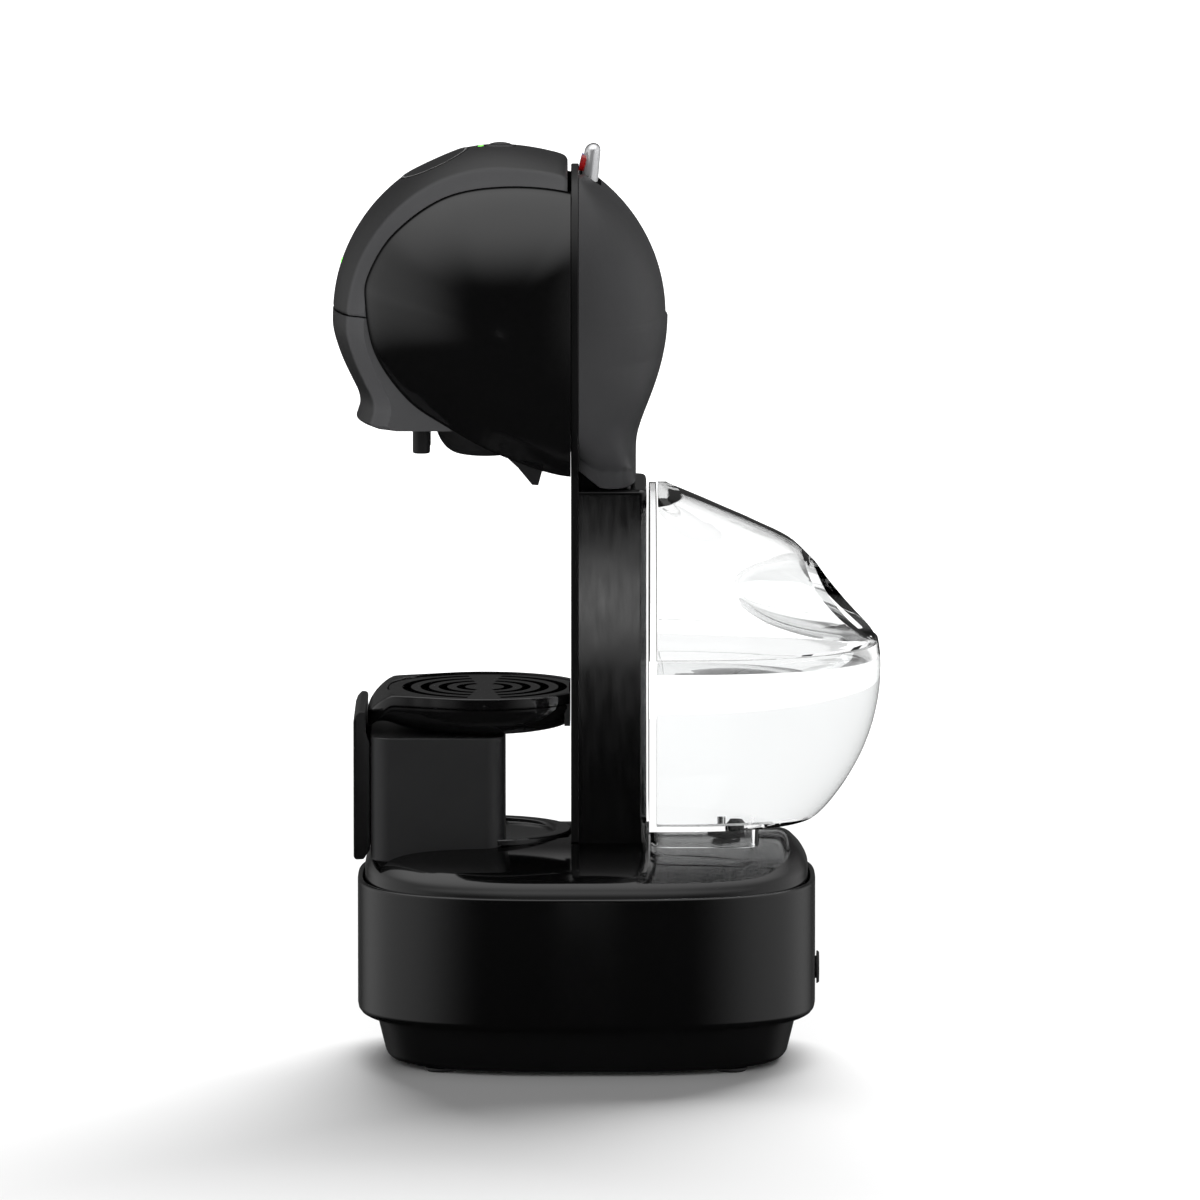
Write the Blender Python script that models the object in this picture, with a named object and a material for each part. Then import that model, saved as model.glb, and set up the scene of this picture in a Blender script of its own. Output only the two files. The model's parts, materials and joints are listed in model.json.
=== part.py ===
"""Pod coffee machine with a swing-up locking handle, a slide-out pod holder,
a clear lift-off water tank and a lift-off drip tray on its own stand.

The front of the machine faces -Y, +Z is up and the origin lies on the
worktop, under the middle of the machine's outline.
Lengths in this script are millimetres; new_part turns them into metres.
"""

import math

import bmesh
import bpy
from mathutils import Matrix, Vector

MM = 0.001
GAP = 0.3
WALL = 2.6
TURN_STEPS = 24
TAU = 2 * math.pi

# Base: outlines are superellipses, with half lengths along Y and along X
BASE_Y = -9.0
BAND_LENGTH = 100.4
BAND_WIDTH = 79.0
BAND_BOTTOM = 21.3
BAND_TOP = 80.0
PAN_BOTTOM = 2.0
DECK_TOP = 98.8
FOOT_RADIUS = 7.0
FOOT_PLACES = ((48, -72), (-48, -72), (48, 54), (-48, 54))
SCREW_PLACES = ((40, -60), (-40, -60), (40, 42), (-40, 42))

# Head: a ball whose middle is on the axis of the two round side panels
HEAD_Y = -47.0
HEAD_Z = 326.0
HEAD_WIDTH = 69.0
DOME_OUT = 75.0
SEAM_X = 44.0
HOOP_X = 43.7
HOOP_BACK = -17.2
HOOP_FRONT = 329.3
PANEL_BACK = -15.8
CROWN = ((0, 0), (12, 0.8), (24, 3.1), (36, 6.9), (HOOP_X, 14.2))
HOOP_INSIDE = ((0, 3.0), (12, 3.8), (24, 6.1), (34, 10.0), (HOOP_X, 17.4))

# Spine and column
SPINE_FRONT = -15.4
SPINE_BACK = -12.6
SHELL_FRONT = -12.3
COLUMN_WIDTH = 31.0
COLUMN_BACK = 17.2
COLUMN_TOP = 252.3

# Joint places
HANDLE_PIVOT = (-24.0, 389.5)
LEVER_PIVOT = (-7.6, 370.4)
LID_PIVOT = (24.2, 249.6)
BUTTON_Y = -46.5

# Pod holder, cup rest and tank
POD_Y = -53.0
POD_RIM = 316.0
TRAY_Y = -53.5
TRAY_RADIUS = 45.0
TRAY_TOP = 162.5
STAND_TOP = 144.7
TANK_FRONT = 18.2
TANK_WIDTH = 74.0
TANK_BOTTOM = 105.4
LID_LINE = 183.5


# ---------- tools ----------

def clear_scene():
    for item in list(bpy.data.objects):
        bpy.data.objects.remove(item)


def finish(name, colour, roughness, metallic=0.0, alpha=1.0):
    material = bpy.data.materials.new(name)
    material.use_nodes = True
    shader = material.node_tree.nodes["Principled BSDF"]
    shader.inputs["Base Color"].default_value = (*colour, 1)
    shader.inputs["Roughness"].default_value = roughness
    shader.inputs["Metallic"].default_value = metallic
    shader.inputs["Alpha"].default_value = alpha
    return material


def new_part(name, bm, material, guide=False):
    bmesh.ops.scale(bm, vec=(MM, MM, MM), verts=bm.verts)
    bmesh.ops.recalc_face_normals(bm, faces=bm.faces)
    mesh = bpy.data.meshes.new(name)
    bm.to_mesh(mesh)
    bm.free()
    mesh.materials.append(material)
    mesh.shade_smooth()
    mesh.set_sharp_from_angle(angle=math.radians(35))
    part = bpy.data.objects.new(name, mesh)
    bpy.context.collection.objects.link(part)
    if guide:
        part.hide_render = True
        part.display_type = "WIRE"
    return part


def combine(part, other, operation):
    other.hide_render = True
    other.display_type = "WIRE"
    step = part.modifiers.new(operation.lower(), "BOOLEAN")
    step.operation = operation
    step.solver = "EXACT"
    step.object = other


def cut(part, *others):
    for other in others:
        combine(part, other, "DIFFERENCE")


def join(part, *others):
    for other in others:
        combine(part, other, "UNION")


def mix(low, high, share):
    return low + (high - low) * share


def smooth_curve(points, steps, closed=False):
    """Catmull-Rom curve through the points, as a list of points."""
    count = len(points)
    spans = count if closed else count - 1
    curve = []
    for span in range(spans):
        if closed:
            near = [Vector(points[(span + k) % count]) for k in (-1, 0, 1, 2)]
        else:
            near = [Vector(points[min(max(span + k, 0), count - 1)]) for k in (-1, 0, 1, 2)]
        before, start, end, after = near
        for step in range(steps):
            t = step / steps
            bend = (2 * before - 5 * start + 4 * end - after) * t + (3 * start - before - 3 * end + after) * t * t
            curve.append(tuple(start + (end - before + bend) * t / 2))
    if not closed:
        curve.append(tuple(points[-1]))
    return curve


def curve_at(points, height):
    """Reads a curve of (height, value) points that rises steadily in height."""
    for (low, near), (high, far) in zip(points, points[1:]):
        if low <= height <= high:
            return mix(near, far, (height - low) / (high - low))
    return points[-1][1] if height > points[-1][0] else points[0][1]


def arc(centre, radius, start, end, steps):
    """Points on an arc, with the angles in degrees."""
    angles = [math.radians(mix(start, end, k / steps)) for k in range(steps + 1)]
    return [(centre[0] + radius * math.cos(a), centre[1] + radius * math.sin(a)) for a in angles]


def rounded(left, right, low, high, radius, steps=3):
    corners = ((right - radius, low + radius, -90), (right - radius, high - radius, 0),
               (left + radius, high - radius, 90), (left + radius, low + radius, 180))
    return [p for x, y, a in corners for p in arc((x, y), radius, a, a + 90, steps)]


def superellipse(length, width, z, power=3.0, count=32):
    ring = []
    for k in range(count):
        angle = TAU * (k + 0.5) / count
        x, y = math.sin(angle), math.cos(angle)
        x = math.copysign(abs(x) ** (2 / power), x) * width
        y = math.copysign(abs(y) ** (2 / power), y) * length
        ring.append((x, BASE_Y + y, z))
    return ring


def loft(rings):
    bm = bmesh.new()
    loops = []
    for ring in rings:
        verts = [bm.verts.new(point) for point in ring]
        edges = [bm.edges.new((verts[k - 1], verts[k])) for k in range(len(verts))]
        loops.append((verts, edges))
    for (_, low), (_, high) in zip(loops, loops[1:]):
        bmesh.ops.bridge_loops(bm, edges=low + high)
    bm.faces.new(loops[0][0])
    bm.faces.new(loops[-1][0])
    return bm


def prism(outline, low, high, axis="Z"):
    """Extrudes a flat outline; X takes (y, z) points, Y takes (x, z), Z takes (x, y)."""
    place = {"X": lambda a, b: (low, a, b), "Y": lambda a, b: (a, low, b), "Z": lambda a, b: (a, b, low)}[axis]
    along = {"X": (1, 0, 0), "Y": (0, 1, 0), "Z": (0, 0, 1)}[axis]
    bm = bmesh.new()
    face = bm.faces.new([bm.verts.new(place(a, b)) for a, b in outline])
    raised = bmesh.ops.extrude_face_region(bm, geom=[face])["geom"]
    tops = [item for item in raised if isinstance(item, bmesh.types.BMVert)]
    bmesh.ops.translate(bm, verts=tops, vec=Vector(along) * (high - low))
    return bm


def block(x0, x1, y0, y1, z0, z1, radius=0):
    outline = rounded(x0, x1, y0, y1, radius) if radius else [(x0, y0), (x1, y0), (x1, y1), (x0, y1)]
    return prism(outline, z0, z1)


def turned(profile, centre, axis="Z", closed=False, steps=TURN_STEPS, lean=0.0):
    """Turns (radius, height) points about an axis through the centre point."""
    bm = bmesh.new()
    verts = [bm.verts.new((radius, 0, height)) for radius, height in profile]
    pairs = list(zip(verts, verts[1:]))
    if closed:
        pairs.append((verts[-1], verts[0]))
    edges = [bm.edges.new(pair) for pair in pairs]
    bmesh.ops.spin(bm, geom=verts + edges, cent=(0, 0, 0), axis=(0, 0, 1), angle=TAU, steps=steps,
                   use_merge=True, use_duplicate=False)
    bmesh.ops.remove_doubles(bm, verts=bm.verts, dist=1e-4)
    turns = {"Z": Matrix.Rotation(0, 4, "X"), "X": Matrix.Rotation(TAU / 4, 4, "Y"),
             "Y": Matrix.Rotation(-TAU / 4, 4, "X")}
    bmesh.ops.transform(bm, matrix=Matrix.Translation(centre) @ Matrix.Rotation(lean, 4, "X") @ turns[axis],
                        verts=bm.verts)
    return bm


def rod(radius, low, high, centre, axis="Z", steps=TURN_STEPS, lean=0.0):
    return turned([(0, low), (radius, low), (radius, high), (0, high)], centre, axis, steps=steps, lean=lean)


def tube(name, route, radius, material, steps=3, sides=1):
    curve = bpy.data.curves.new(name, "CURVE")
    curve.dimensions = "3D"
    curve.bevel_depth = radius * MM
    curve.bevel_resolution = sides
    curve.use_fill_caps = True
    points = smooth_curve(route, steps)
    line = curve.splines.new("POLY")
    line.points.add(len(points) - 1)
    for point, place in zip(line.points, points):
        point.co = (*(Vector(place) * MM), 1)
    curve.materials.append(material)
    hose = bpy.data.objects.new(name, curve)
    bpy.context.collection.objects.link(hose)
    return hose


def hang(pivot_name, place, parts):
    """Parents the parts to an empty that stands on their joint's axis."""
    pivot = bpy.data.objects.new(pivot_name, None)
    pivot.location = Vector(place) * MM
    bpy.context.collection.objects.link(pivot)
    for part in parts:
        part.parent = pivot
        part.matrix_parent_inverse = Matrix.Translation(-pivot.location)


# ---------- base ----------

def deck_solid(name, grow, bottom, material):
    """The domed top of the base, flatter along its length than across it."""
    steps = ((97.0, 75.6, 80.2), (96.5, 71.5, 86.0), (94.0, 63.0, 91.0), (91.0, 49.0, 94.8),
             (88.5, 33.0, 97.4), (85.0, 17.0, DECK_TOP))
    rings = [superellipse(97.0 + grow, 75.6 + grow, bottom)]
    rings += [superellipse(a + grow, b + grow, z + grow) for a, b, z in steps]
    return new_part(name, loft(rings), material, guide=True)


def make_base(dark, gloss, rubber, steel, grey):
    pan_rings = [superellipse(86.5, 66.0, PAN_BOTTOM), superellipse(88.5, 68.0, 4.0),
                 superellipse(92.4, 71.6, 20.0), superellipse(92.9, 72.0, 30.0)]
    pan = new_part("base_pan", loft(pan_rings), dark)
    pan_room = [superellipse(85.5, 65.0, 4.6), superellipse(89.6, 69.0, 20.0), superellipse(90.3, 69.4, 31.0)]
    cut(pan, new_part("pan_room", loft(pan_room), dark, guide=True))
    for number, (x, y) in enumerate(SCREW_PLACES, 1):
        cut(pan, new_part(f"screw_hole_{number}", rod(2.3, 0, 8, (x, y, 0), steps=12), dark, guide=True))

    band_rings = [superellipse(97.2, 75.8, BAND_BOTTOM), superellipse(99.5, 78.1, 22.6),
                  superellipse(BAND_LENGTH, BAND_WIDTH, 25.6), superellipse(BAND_LENGTH, BAND_WIDTH, 78.6),
                  superellipse(BAND_LENGTH - 0.8, BAND_WIDTH - 0.8, BAND_TOP)]
    band = new_part("base_band", loft(band_rings), gloss)
    mouth = [superellipse(93.4, 72.5, 15), superellipse(93.4, 72.5, 40)]
    room = [superellipse(97.4, 76.0, 25), superellipse(97.4, 76.0, 90)]
    cut(band, new_part("band_mouth", loft(mouth), gloss, guide=True))
    cut(band, new_part("band_room", loft(room), gloss, guide=True))
    cut(band, new_part("cord_hole", rod(5.3, -20, 20, (0, 90, 38), "Y", 20), gloss, guide=True))

    deck = deck_solid("base_deck", 0, 72, gloss)
    deck.hide_render = False
    deck.display_type = "TEXTURED"
    deck_room = deck_solid("deck_room", -WALL, 60, gloss)
    cut(deck, deck_room)
    cut(deck, new_part("hose_hole", block(-9, 9, -6, 8, 90, 110, 3), gloss, guide=True))
    cut(deck, new_part("valve_hole", rod(4.2, 90, 110, (0, 53, 0), steps=16), gloss, guide=True))
    cut(deck, new_part("seat_groove", turned([(29.6, 97.4), (38.4, 97.4), (38.4, 120), (29.6, 120)],
                                             (0, TRAY_Y, 0), closed=True, steps=32), gloss, guide=True))
    new_part("cup_seat_ring", turned([(30.2, 97.8), (37.8, 97.8), (37.8, 99.3), (37.0, 99.8), (31.0, 99.8),
                                      (30.2, 99.3)], (0, TRAY_Y, 0), closed=True, steps=32), grey)
    for number, (x, y) in enumerate(FOOT_PLACES, 1):
        sole = [(0, 0), (FOOT_RADIUS - 1, 0), (FOOT_RADIUS, 0.8), (FOOT_RADIUS, PAN_BOTTOM - GAP),
                (0, PAN_BOTTOM - GAP)]
        new_part(f"rubber_foot_{number}", turned(sole, (x, y, 0), steps=20), rubber)
    for number, (x, y) in enumerate(SCREW_PLACES, 1):
        screw = [(0, 4.9), (3.6, 4.9), (3.6, 6.4), (0, 7.4)]
        shank = [(0, 2.6), (1.9, 2.6), (1.9, 4.9)]
        new_part(f"base_screw_{number}", turned(shank + screw[1:], (x, y, 0), steps=12), steel)
    gland = [(3.4, -7), (6.8, -7), (6.8, -3.4), (5.0, -3.4), (5.0, GAP), (7.2, GAP), (7.2, 0.9), (6.6, 1.5), (3.4, 1.5)]
    place = (0, BASE_Y + BAND_LENGTH, 38)
    new_part("cord_gland", turned(gland, place, "Y", closed=True, steps=20), rubber)


def make_works(dark, board_green, rubber, steel):
    """The pump, its rubber mounts, the control board and the heater."""
    pump_line = (-34, -10, 46)
    pump = new_part("water_pump", rod(12, -30, 26, pump_line, "Y", 20), dark)
    join(pump, new_part("pump_coil", block(-50, -18, -24, 4, 31, 61, 3), dark, guide=True))
    join(pump, new_part("pump_outlet", rod(3.2, 20, 34, pump_line, "Y", 12), dark, guide=True))
    join(pump, new_part("pump_inlet", rod(3.2, -38, -26, pump_line, "Y", 12), dark, guide=True))
    for name, y in (("pump_mount_front", -33), ("pump_mount_rear", 12)):
        saddle = new_part(name, block(-42, -26, y - 4, y + 4, 5.0, 40, 2), rubber)
        cut(saddle, new_part(name + "_seat", rod(12.3, -12, 12, (-34, y, 46), "Y", 20), rubber, guide=True))
    board = new_part("control_board", block(12, 58, -44, 22, 22, 23.8, 2), board_green)
    join(board, new_part("board_relay", block(20, 36, -34, -18, 23, 38, 1), board_green, guide=True))
    join(board, new_part("board_capacitor", rod(6, 23, 42, (46, 4, 0), steps=16), board_green, guide=True))
    for name, y in (("board_post_front", -38), ("board_post_rear", 16)):
        new_part(name, rod(3, 5.0, 21.7, (35, y, 0), steps=12), dark)
    heater = new_part("thermoblock", block(-27, 27, -8.5, 12, 298, 346, 5), steel)
    join(heater, new_part("heater_inlet", rod(3.4, 290, 299, (0, -2, 0), steps=12), steel, guide=True))
    join(heater, new_part("heater_plugs", block(-22, 22, -4, 6, 345, 352, 2), steel, guide=True))


def make_hoses(clear_grey):
    tube("suction_hose", [(0, 53, 90.6), (0, 52.4, 84), (-6, 44, 70), (-22, 36, 54), (-33, 30, 47.5), (-34, 24.4, 46)],
         2.6, clear_grey)
    tube("pressure_hose", [(-34, -48.6, 46), (-32, -58, 49), (-20, -56, 62), (-6, -28, 76), (0, -4, 88),
                           (0, 1, 104), (0, 1, 150), (0, 1, 210), (0, -1, 260), (0, -2, 289.6)], 2.4, clear_grey)


# ---------- spine, column and rear shell ----------

def head_half_width(z):
    height = 65 if z > HEAD_Z else 70
    ball = HEAD_WIDTH * max(0.0, 1 - abs((z - HEAD_Z) / height) ** 2.5) ** 0.4
    if z > HEAD_Z:
        return ball
    return (COLUMN_WIDTH ** 6 + ball ** 6) ** (1 / 6)


def shell_depth(z):
    ball = max(0.0, math.sqrt(max(0.0, 72.5 ** 2 - (z - HEAD_Z) ** 2)) + HEAD_Y - SHELL_FRONT)
    if z > HEAD_Z:
        return ball
    return (24.9 ** 5 + ball ** 5) ** 0.2


def shell_ring(z, inset, lead, count=14):
    """One level section of the rear shell: a flat front and a round back."""
    width = head_half_width(z) - inset
    depth = shell_depth(z) - inset
    ring = [(width, SHELL_FRONT - lead, z)] if lead else []
    for k in range(count + 1):
        angle = math.pi * k / count
        x = math.copysign(abs(math.cos(angle)) ** 0.9, math.cos(angle)) * width
        ring.append((x, SHELL_FRONT + math.sin(angle) ** 0.9 * depth, z))
    if lead:
        ring.append((-width, SHELL_FRONT - lead, z))
    return ring


def make_rear_shell(matte, dark):
    levels = [252.6, 259, 265, 272, 281, 294, 310, 326, 342, 357, 369, 378, 384.5, 387.5]
    shell = new_part("rear_shell", loft([shell_ring(z, 0, 0) for z in levels]), matte)
    room_levels = [250] + levels[1:-2]
    room = [shell_ring(z, WALL, 6) for z in room_levels]
    cut(shell, new_part("shell_room", loft(room), matte, guide=True))
    cut(shell, new_part("lever_notch", block(-13.5, 13.5, -20, -2.6, 375, 400), matte, guide=True))
    bezel = new_part("lever_bezel", block(-13.1, 13.1, SHELL_FRONT + GAP, -4.4, 375.2, 381.0, 2.5), dark)
    cut(bezel, new_part("lever_slot", block(-7.0, 7.0, -10.2, -5.2, 370, 390, 2.2), dark, guide=True))


def make_spine(gloss, deck_clearance):
    levels = [92, 200, 250, 256, 262, 268, 275, 284, 295, 310, 326, 342, 356, 368, 377, 384, 388.5]
    sides = [(head_half_width(z) + 0.4, z) for z in levels]
    outline = sides + [(16, 390.6), (-16, 390.6)] + [(-x, z) for x, z in reversed(sides)]
    spine = new_part("spine_plate", prism(outline, SPINE_FRONT, SPINE_BACK, "Y"), gloss)
    cut(spine, deck_clearance)

    column = new_part("column_cover", column_block(0, 88, COLUMN_TOP), gloss)
    cut(column, new_part("column_room", column_block(WALL, 80, 260), gloss, guide=True))
    cut(column, deck_clearance)


def column_block(inset, low, high):
    width = COLUMN_WIDTH - inset
    back = COLUMN_BACK - inset
    corner = 11 - inset / 2
    front = SHELL_FRONT - (6 if inset else 0)
    outline = [(-width, front), (width, front)]
    outline += arc((width - corner, back - corner), corner, 0, 90, 5)
    outline += arc((-width + corner, back - corner), corner, 90, 180, 5)
    return prism(outline, low, high)


# ---------- head ----------

def crown_radius(turn):
    """Radius of the hoop's crown from the head's middle; turn 0 is the top, 90 the front."""
    back = max(0.0, -turn - 5) / 19
    return 72.4 + 1.4 * math.cos(math.radians(turn)) ** 4 + 1.6 * back * back


def hoop_point(side, drop, share, lift=0.0):
    start = -math.degrees(math.asin((HOOP_BACK - HEAD_Y) / (74.4 - drop)))
    end = math.degrees(math.acos((HOOP_FRONT - HEAD_Z) / (72.4 - drop)))
    turn = mix(start, end, share)
    radius = crown_radius(turn) - drop * (1 - 0.2 * max(0.0, -turn - 5) / 19) + lift
    y = HEAD_Y - radius * math.sin(math.radians(turn))
    z = HEAD_Z + radius * math.cos(math.radians(turn))
    if share == 0:
        y = HOOP_BACK
    if share == 1:
        z = HOOP_FRONT
    return side, y, z


def hoop_rings(steps):
    outer = [(-x, d) for x, d in reversed(CROWN)] + list(CROWN[1:])
    inner = list(reversed(HOOP_INSIDE)) + [(-x, d) for x, d in HOOP_INSIDE[1:]]
    return [[hoop_point(x, d, k / steps) for x, d in outer + inner] for k in range(steps + 1)]


def crown_slab(name, low, high, first, last, material):
    """A slab that follows the hoop's crown, from one share of its arc to another."""
    rings = []
    for k in range(7):
        share = mix(first, last, k / 6)
        line = [(-24, 3.1), (-12, 0.8), (0, 0), (12, 0.8), (24, 3.1)]
        ring = [hoop_point(x, d, share, high) for x, d in line]
        ring += [hoop_point(x, d, share, low) for x, d in reversed(line)]
        rings.append(ring)
    return new_part(name, loft(rings), material, guide=True)


def make_badge(handle, gloss):
    """An oval badge let into the crown, in front of the power button."""
    lean = math.radians(23)
    middle = (0, HEAD_Y - 70 * math.sin(lean), HEAD_Z + 70 * math.cos(lean))
    oval = {}
    for name, grow in (("badge_oval", 0), ("badge_pocket_oval", GAP)):
        bm = rod(1, -8, 12, (0, 0, 0), steps=28)
        bmesh.ops.scale(bm, vec=(13 + grow, 17 + grow, 1), verts=bm.verts)
        bmesh.ops.transform(bm, matrix=Matrix.Translation(middle) @ Matrix.Rotation(lean, 4, "X"), verts=bm.verts)
        oval[name] = new_part(name, bm, gloss, guide=True)
    badge = crown_slab("badge", -0.9, 0.2, 0.24, 0.66, gloss)
    badge.hide_render = False
    badge.display_type = "TEXTURED"
    combine(badge, oval["badge_oval"], "INTERSECT")
    pocket = crown_slab("badge_pocket", -1.2, 5, 0.24, 0.66, gloss)
    combine(pocket, oval["badge_pocket_oval"], "INTERSECT")
    cut(handle, pocket)
    return badge


def make_handle(matte, gloss, green, steel):
    """The hoop over the head, with its button, lights and badge; it swings up about its pin."""
    handle = new_part("locking_handle", loft(hoop_rings(12)), matte)
    pivot_y, pivot_z = HANDLE_PIVOT
    for number, side in enumerate((-1, 1), 1):
        low, high = sorted((side * 7.0, side * 9.6))
        lug = arc((pivot_y, pivot_z), 2.7, 180, 360, 6) + [(pivot_y + 2.7, 392.6), (pivot_y - 2.7, 394.5)]
        join(handle, new_part(f"handle_lug_{number}", prism(lug, low, high, "X"), matte, guide=True))
    join(handle, new_part("button_well", turned([(0, 386.6), (9.0, 386.6), (9.0, 398), (0, 398)],
                                                (0, BUTTON_Y, 0), steps=24), matte, guide=True))
    cut(handle, new_part("button_bore", rod(7.0, 389.0, 410, (0, BUTTON_Y, 0), steps=24), matte, guide=True))
    cut(handle, new_part("handle_bore", rod(1.6, -12, 12, (0, pivot_y, pivot_z), "X", 12), matte, guide=True))
    light_places = (("power_light", 1.5, math.radians(6.2), 71.0), ("front_light", 1.8, math.radians(71), 69.4))
    lights = []
    for name, radius, lean, reach in light_places:
        place = (0, HEAD_Y - reach * math.sin(lean), HEAD_Z + reach * math.cos(lean))
        cut(handle, new_part(name + "_bore", rod(radius + GAP, -4, 8, place, steps=12, lean=lean), matte, guide=True))
        lens = [(0, -0.6), (radius, -0.6), (radius, 2.4), (radius * 0.6, 2.9), (0, 3.0)]
        lights.append(new_part(name, turned(lens, place, steps=12, lean=lean), green))
    badge = make_badge(handle, gloss)
    cap = [(0, 391.2), (6.6, 391.2), (6.6, 399.2), (5.6, 400.2), (3.4, 400.9), (0, 401.2)]
    button = new_part("power_button", turned(cap, (0, BUTTON_Y, 0), steps=24), matte)
    coil = [(4.0 * math.cos(a * TAU / 10), BUTTON_Y + 4.0 * math.sin(a * TAU / 10), 389.5 + a * 0.6 / 10)
            for a in range(22)]
    spring = tube("button_spring", coil, 0.25, steel, steps=1)
    new_part("handle_pin", rod(1.25, -10.4, 10.4, (0, pivot_y, pivot_z), "X", 12), steel)
    hang("handle_axis", (0, pivot_y, pivot_z), [handle, badge, button, spring] + lights)


PANEL_OUTLINE = ((-104.1, 335.6), (-102.4, 348.5), (-91.5, 365.7), (-70.3, 380.7), (-45.0, 385.4), (-17.0, 383.2),
                 (8, 374), (25, 345), (25, 305), (8, 268), (-15.3, 260.5), (-45.9, 269.6), (-70.3, 282.7),
                 (-86.5, 294.3), (-99.8, 313.5))


def dome(side, inset):
    """A round side panel: the outline shrinks towards the head's middle as it bulges out."""
    outline = smooth_curve(PANEL_OUTLINE, 2, closed=True) if not inset else PANEL_OUTLINE
    out = DOME_OUT - inset
    first = math.acos((SEAM_X - (2 if inset else 0)) / out)
    rings = []
    for k in range(7):
        angle = mix(first, 0.14, k / 6)
        reach = math.sin(angle) / math.sin(math.acos(SEAM_X / DOME_OUT))
        reach *= 1 - inset / 58
        ring = [(side * out * math.cos(angle), HEAD_Y + (y - HEAD_Y) * reach, HEAD_Z + (z - HEAD_Z) * reach)
                for y, z in outline]
        rings.append(ring)
    bm = loft(rings)
    back = PANEL_BACK - inset
    geometry = bm.verts[:] + bm.edges[:] + bm.faces[:]
    bmesh.ops.bisect_plane(bm, geom=geometry, plane_co=(0, back, 0), plane_no=(0, 1, 0), clear_outer=True)
    bmesh.ops.holes_fill(bm, edges=[edge for edge in bm.edges if edge.is_boundary])
    return bm


def make_side_panels(gloss):
    for name, side in (("side_panel_left", -1), ("side_panel_right", 1)):
        panel = new_part(name, dome(side, 0), gloss)
        cut(panel, new_part(name + "_room", dome(side, WALL), gloss, guide=True))


def make_head_frame(dark):
    """Two cheeks, a back beam, rails for the pod holder, a guide bar and ears for the handle pin."""
    frame = new_part("head_frame", block(-43.6, 43.6, -22.3, -17.0, 292, 369), dark)
    cheek = arc((HEAD_Y, HEAD_Z), 51, 55, 222, 16)
    cheek += [(-60, 283.5), (-46, 270.5), (-38.5, 263.5), (-32.5, 256.2), (-29.8, 256.0), (-28.2, 262), (-17.0, 262)]
    cheek.append((-17.0, HEAD_Z + 41))
    for number, (low, high) in enumerate(((-43.6, -38), (38, 43.6)), 1):
        join(frame, new_part(f"frame_cheek_{number}", prism(cheek, low, high, "X"), dark, guide=True))
    for number, (low, high) in enumerate(((-40, -33), (33, 40)), 1):
        join(frame, new_part(f"frame_rail_{number}", block(low, high, -84, -20, 295.6, 299.4), dark, guide=True))
    join(frame, new_part("guide_bar", block(-40, 40, -65, -41, 340, 346), dark, guide=True))
    ear = [(-26.6, 365), (-19, 365), (-19, 372), (-21.4, 378), (-21.4, 389.5)]
    ear += arc(HANDLE_PIVOT, 2.6, 0, 180, 6)[1:]
    for number, (low, high) in enumerate(((-6.6, -4), (4, 6.6)), 1):
        join(frame, new_part(f"pin_ear_{number}", prism(ear, low, high, "X"), dark, guide=True))
    cut(frame, new_part("ear_bore", rod(1.55, -12, 12, (0, *HANDLE_PIVOT), "X", 12), dark, guide=True))
    cut(frame, new_part("guide_bore", rod(6.4, 330, 350, (0, POD_Y, 0), steps=20), dark, guide=True))


def make_lever(chrome, dark, red, blue):
    """The cold and hot water lever: a leaning chrome paddle on a stem, which swings about a pin."""
    pivot = (0, *LEVER_PIVOT)
    stem = new_part("lever_stem", block(-2.6, 2.6, -9.4, -5.8, 369, 383.6, 1.0), dark)
    join(stem, new_part("lever_hub", rod(4.2, -2.6, 2.6, pivot, "Y", 16), dark, guide=True))
    cut(stem, new_part("lever_bore", rod(1.85, -8, 8, pivot, "Y", 12), dark, guide=True))
    new_part("lever_pin", rod(1.5, -4.4, 8.0, pivot, "Y", 12), chrome)
    side = [(-12.0, 386.2), (-8.6, 383.9), (-4.4, 383.9), (-2.9, 396.0), (-3.4, 398.8), (-5.6, 400.6), (-7.8, 400.2),
            (-9.2, 398.2)]
    grip = new_part("lever_grip", prism(side, -5.5, 5.5, "X"), chrome)
    edge = grip.modifiers.new("edge", "BEVEL")
    edge.width = 1.6 * MM
    edge.segments = 2
    edge.limit_method = "ANGLE"
    marks = []
    for name, x, colour in (("hot_mark", 2.6, red), ("cold_mark", -2.6, blue)):
        middle = Vector((x, -10.9, 392.2))
        bm = rod(1, -1.4, 0.9, (0, 0, 0), steps=16)
        bmesh.ops.scale(bm, vec=(2.0, 3.6, 1), verts=bm.verts)
        tilt = Matrix.Rotation(math.radians(90 - 13.5), 4, "X")
        bmesh.ops.transform(bm, matrix=Matrix.Translation(middle) @ tilt, verts=bm.verts)
        marks.append(new_part(name, bm, colour))
        bore = rod(1, -1.7, 4, (0, 0, 0), steps=16)
        bmesh.ops.scale(bore, vec=(2.0 + GAP, 3.6 + GAP, 1), verts=bore.verts)
        bmesh.ops.transform(bore, matrix=Matrix.Translation(middle) @ tilt, verts=bore.verts)
        cut(grip, new_part(name + "_bore", bore, colour, guide=True))
    hang("lever_axis", pivot, [stem, grip] + marks)


# ---------- pod holder and injector ----------

LIP = ((279.5, -105.8), (281.5, -109.4), (284, -108.8), (288, -107.5), (293, -108.4), (299.5, -111.6), (309, -116.0),
       (320, -119.2), (328.7, -119.4))


def lip_ring(z):
    front = curve_at(LIP, z)
    outer = [(-x, front + d) for x, d in reversed(CROWN)] + [(x, front + d) for x, d in CROWN[1:]]
    back = [(HOOP_X, front + 17.4), (36.2, front + 12.6), (36.2, -86), (-36.2, -86), (-36.2, front + 12.6),
            (-HOOP_X, front + 17.4)]
    return [(x, y, z) for x, y in outer + back]


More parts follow.
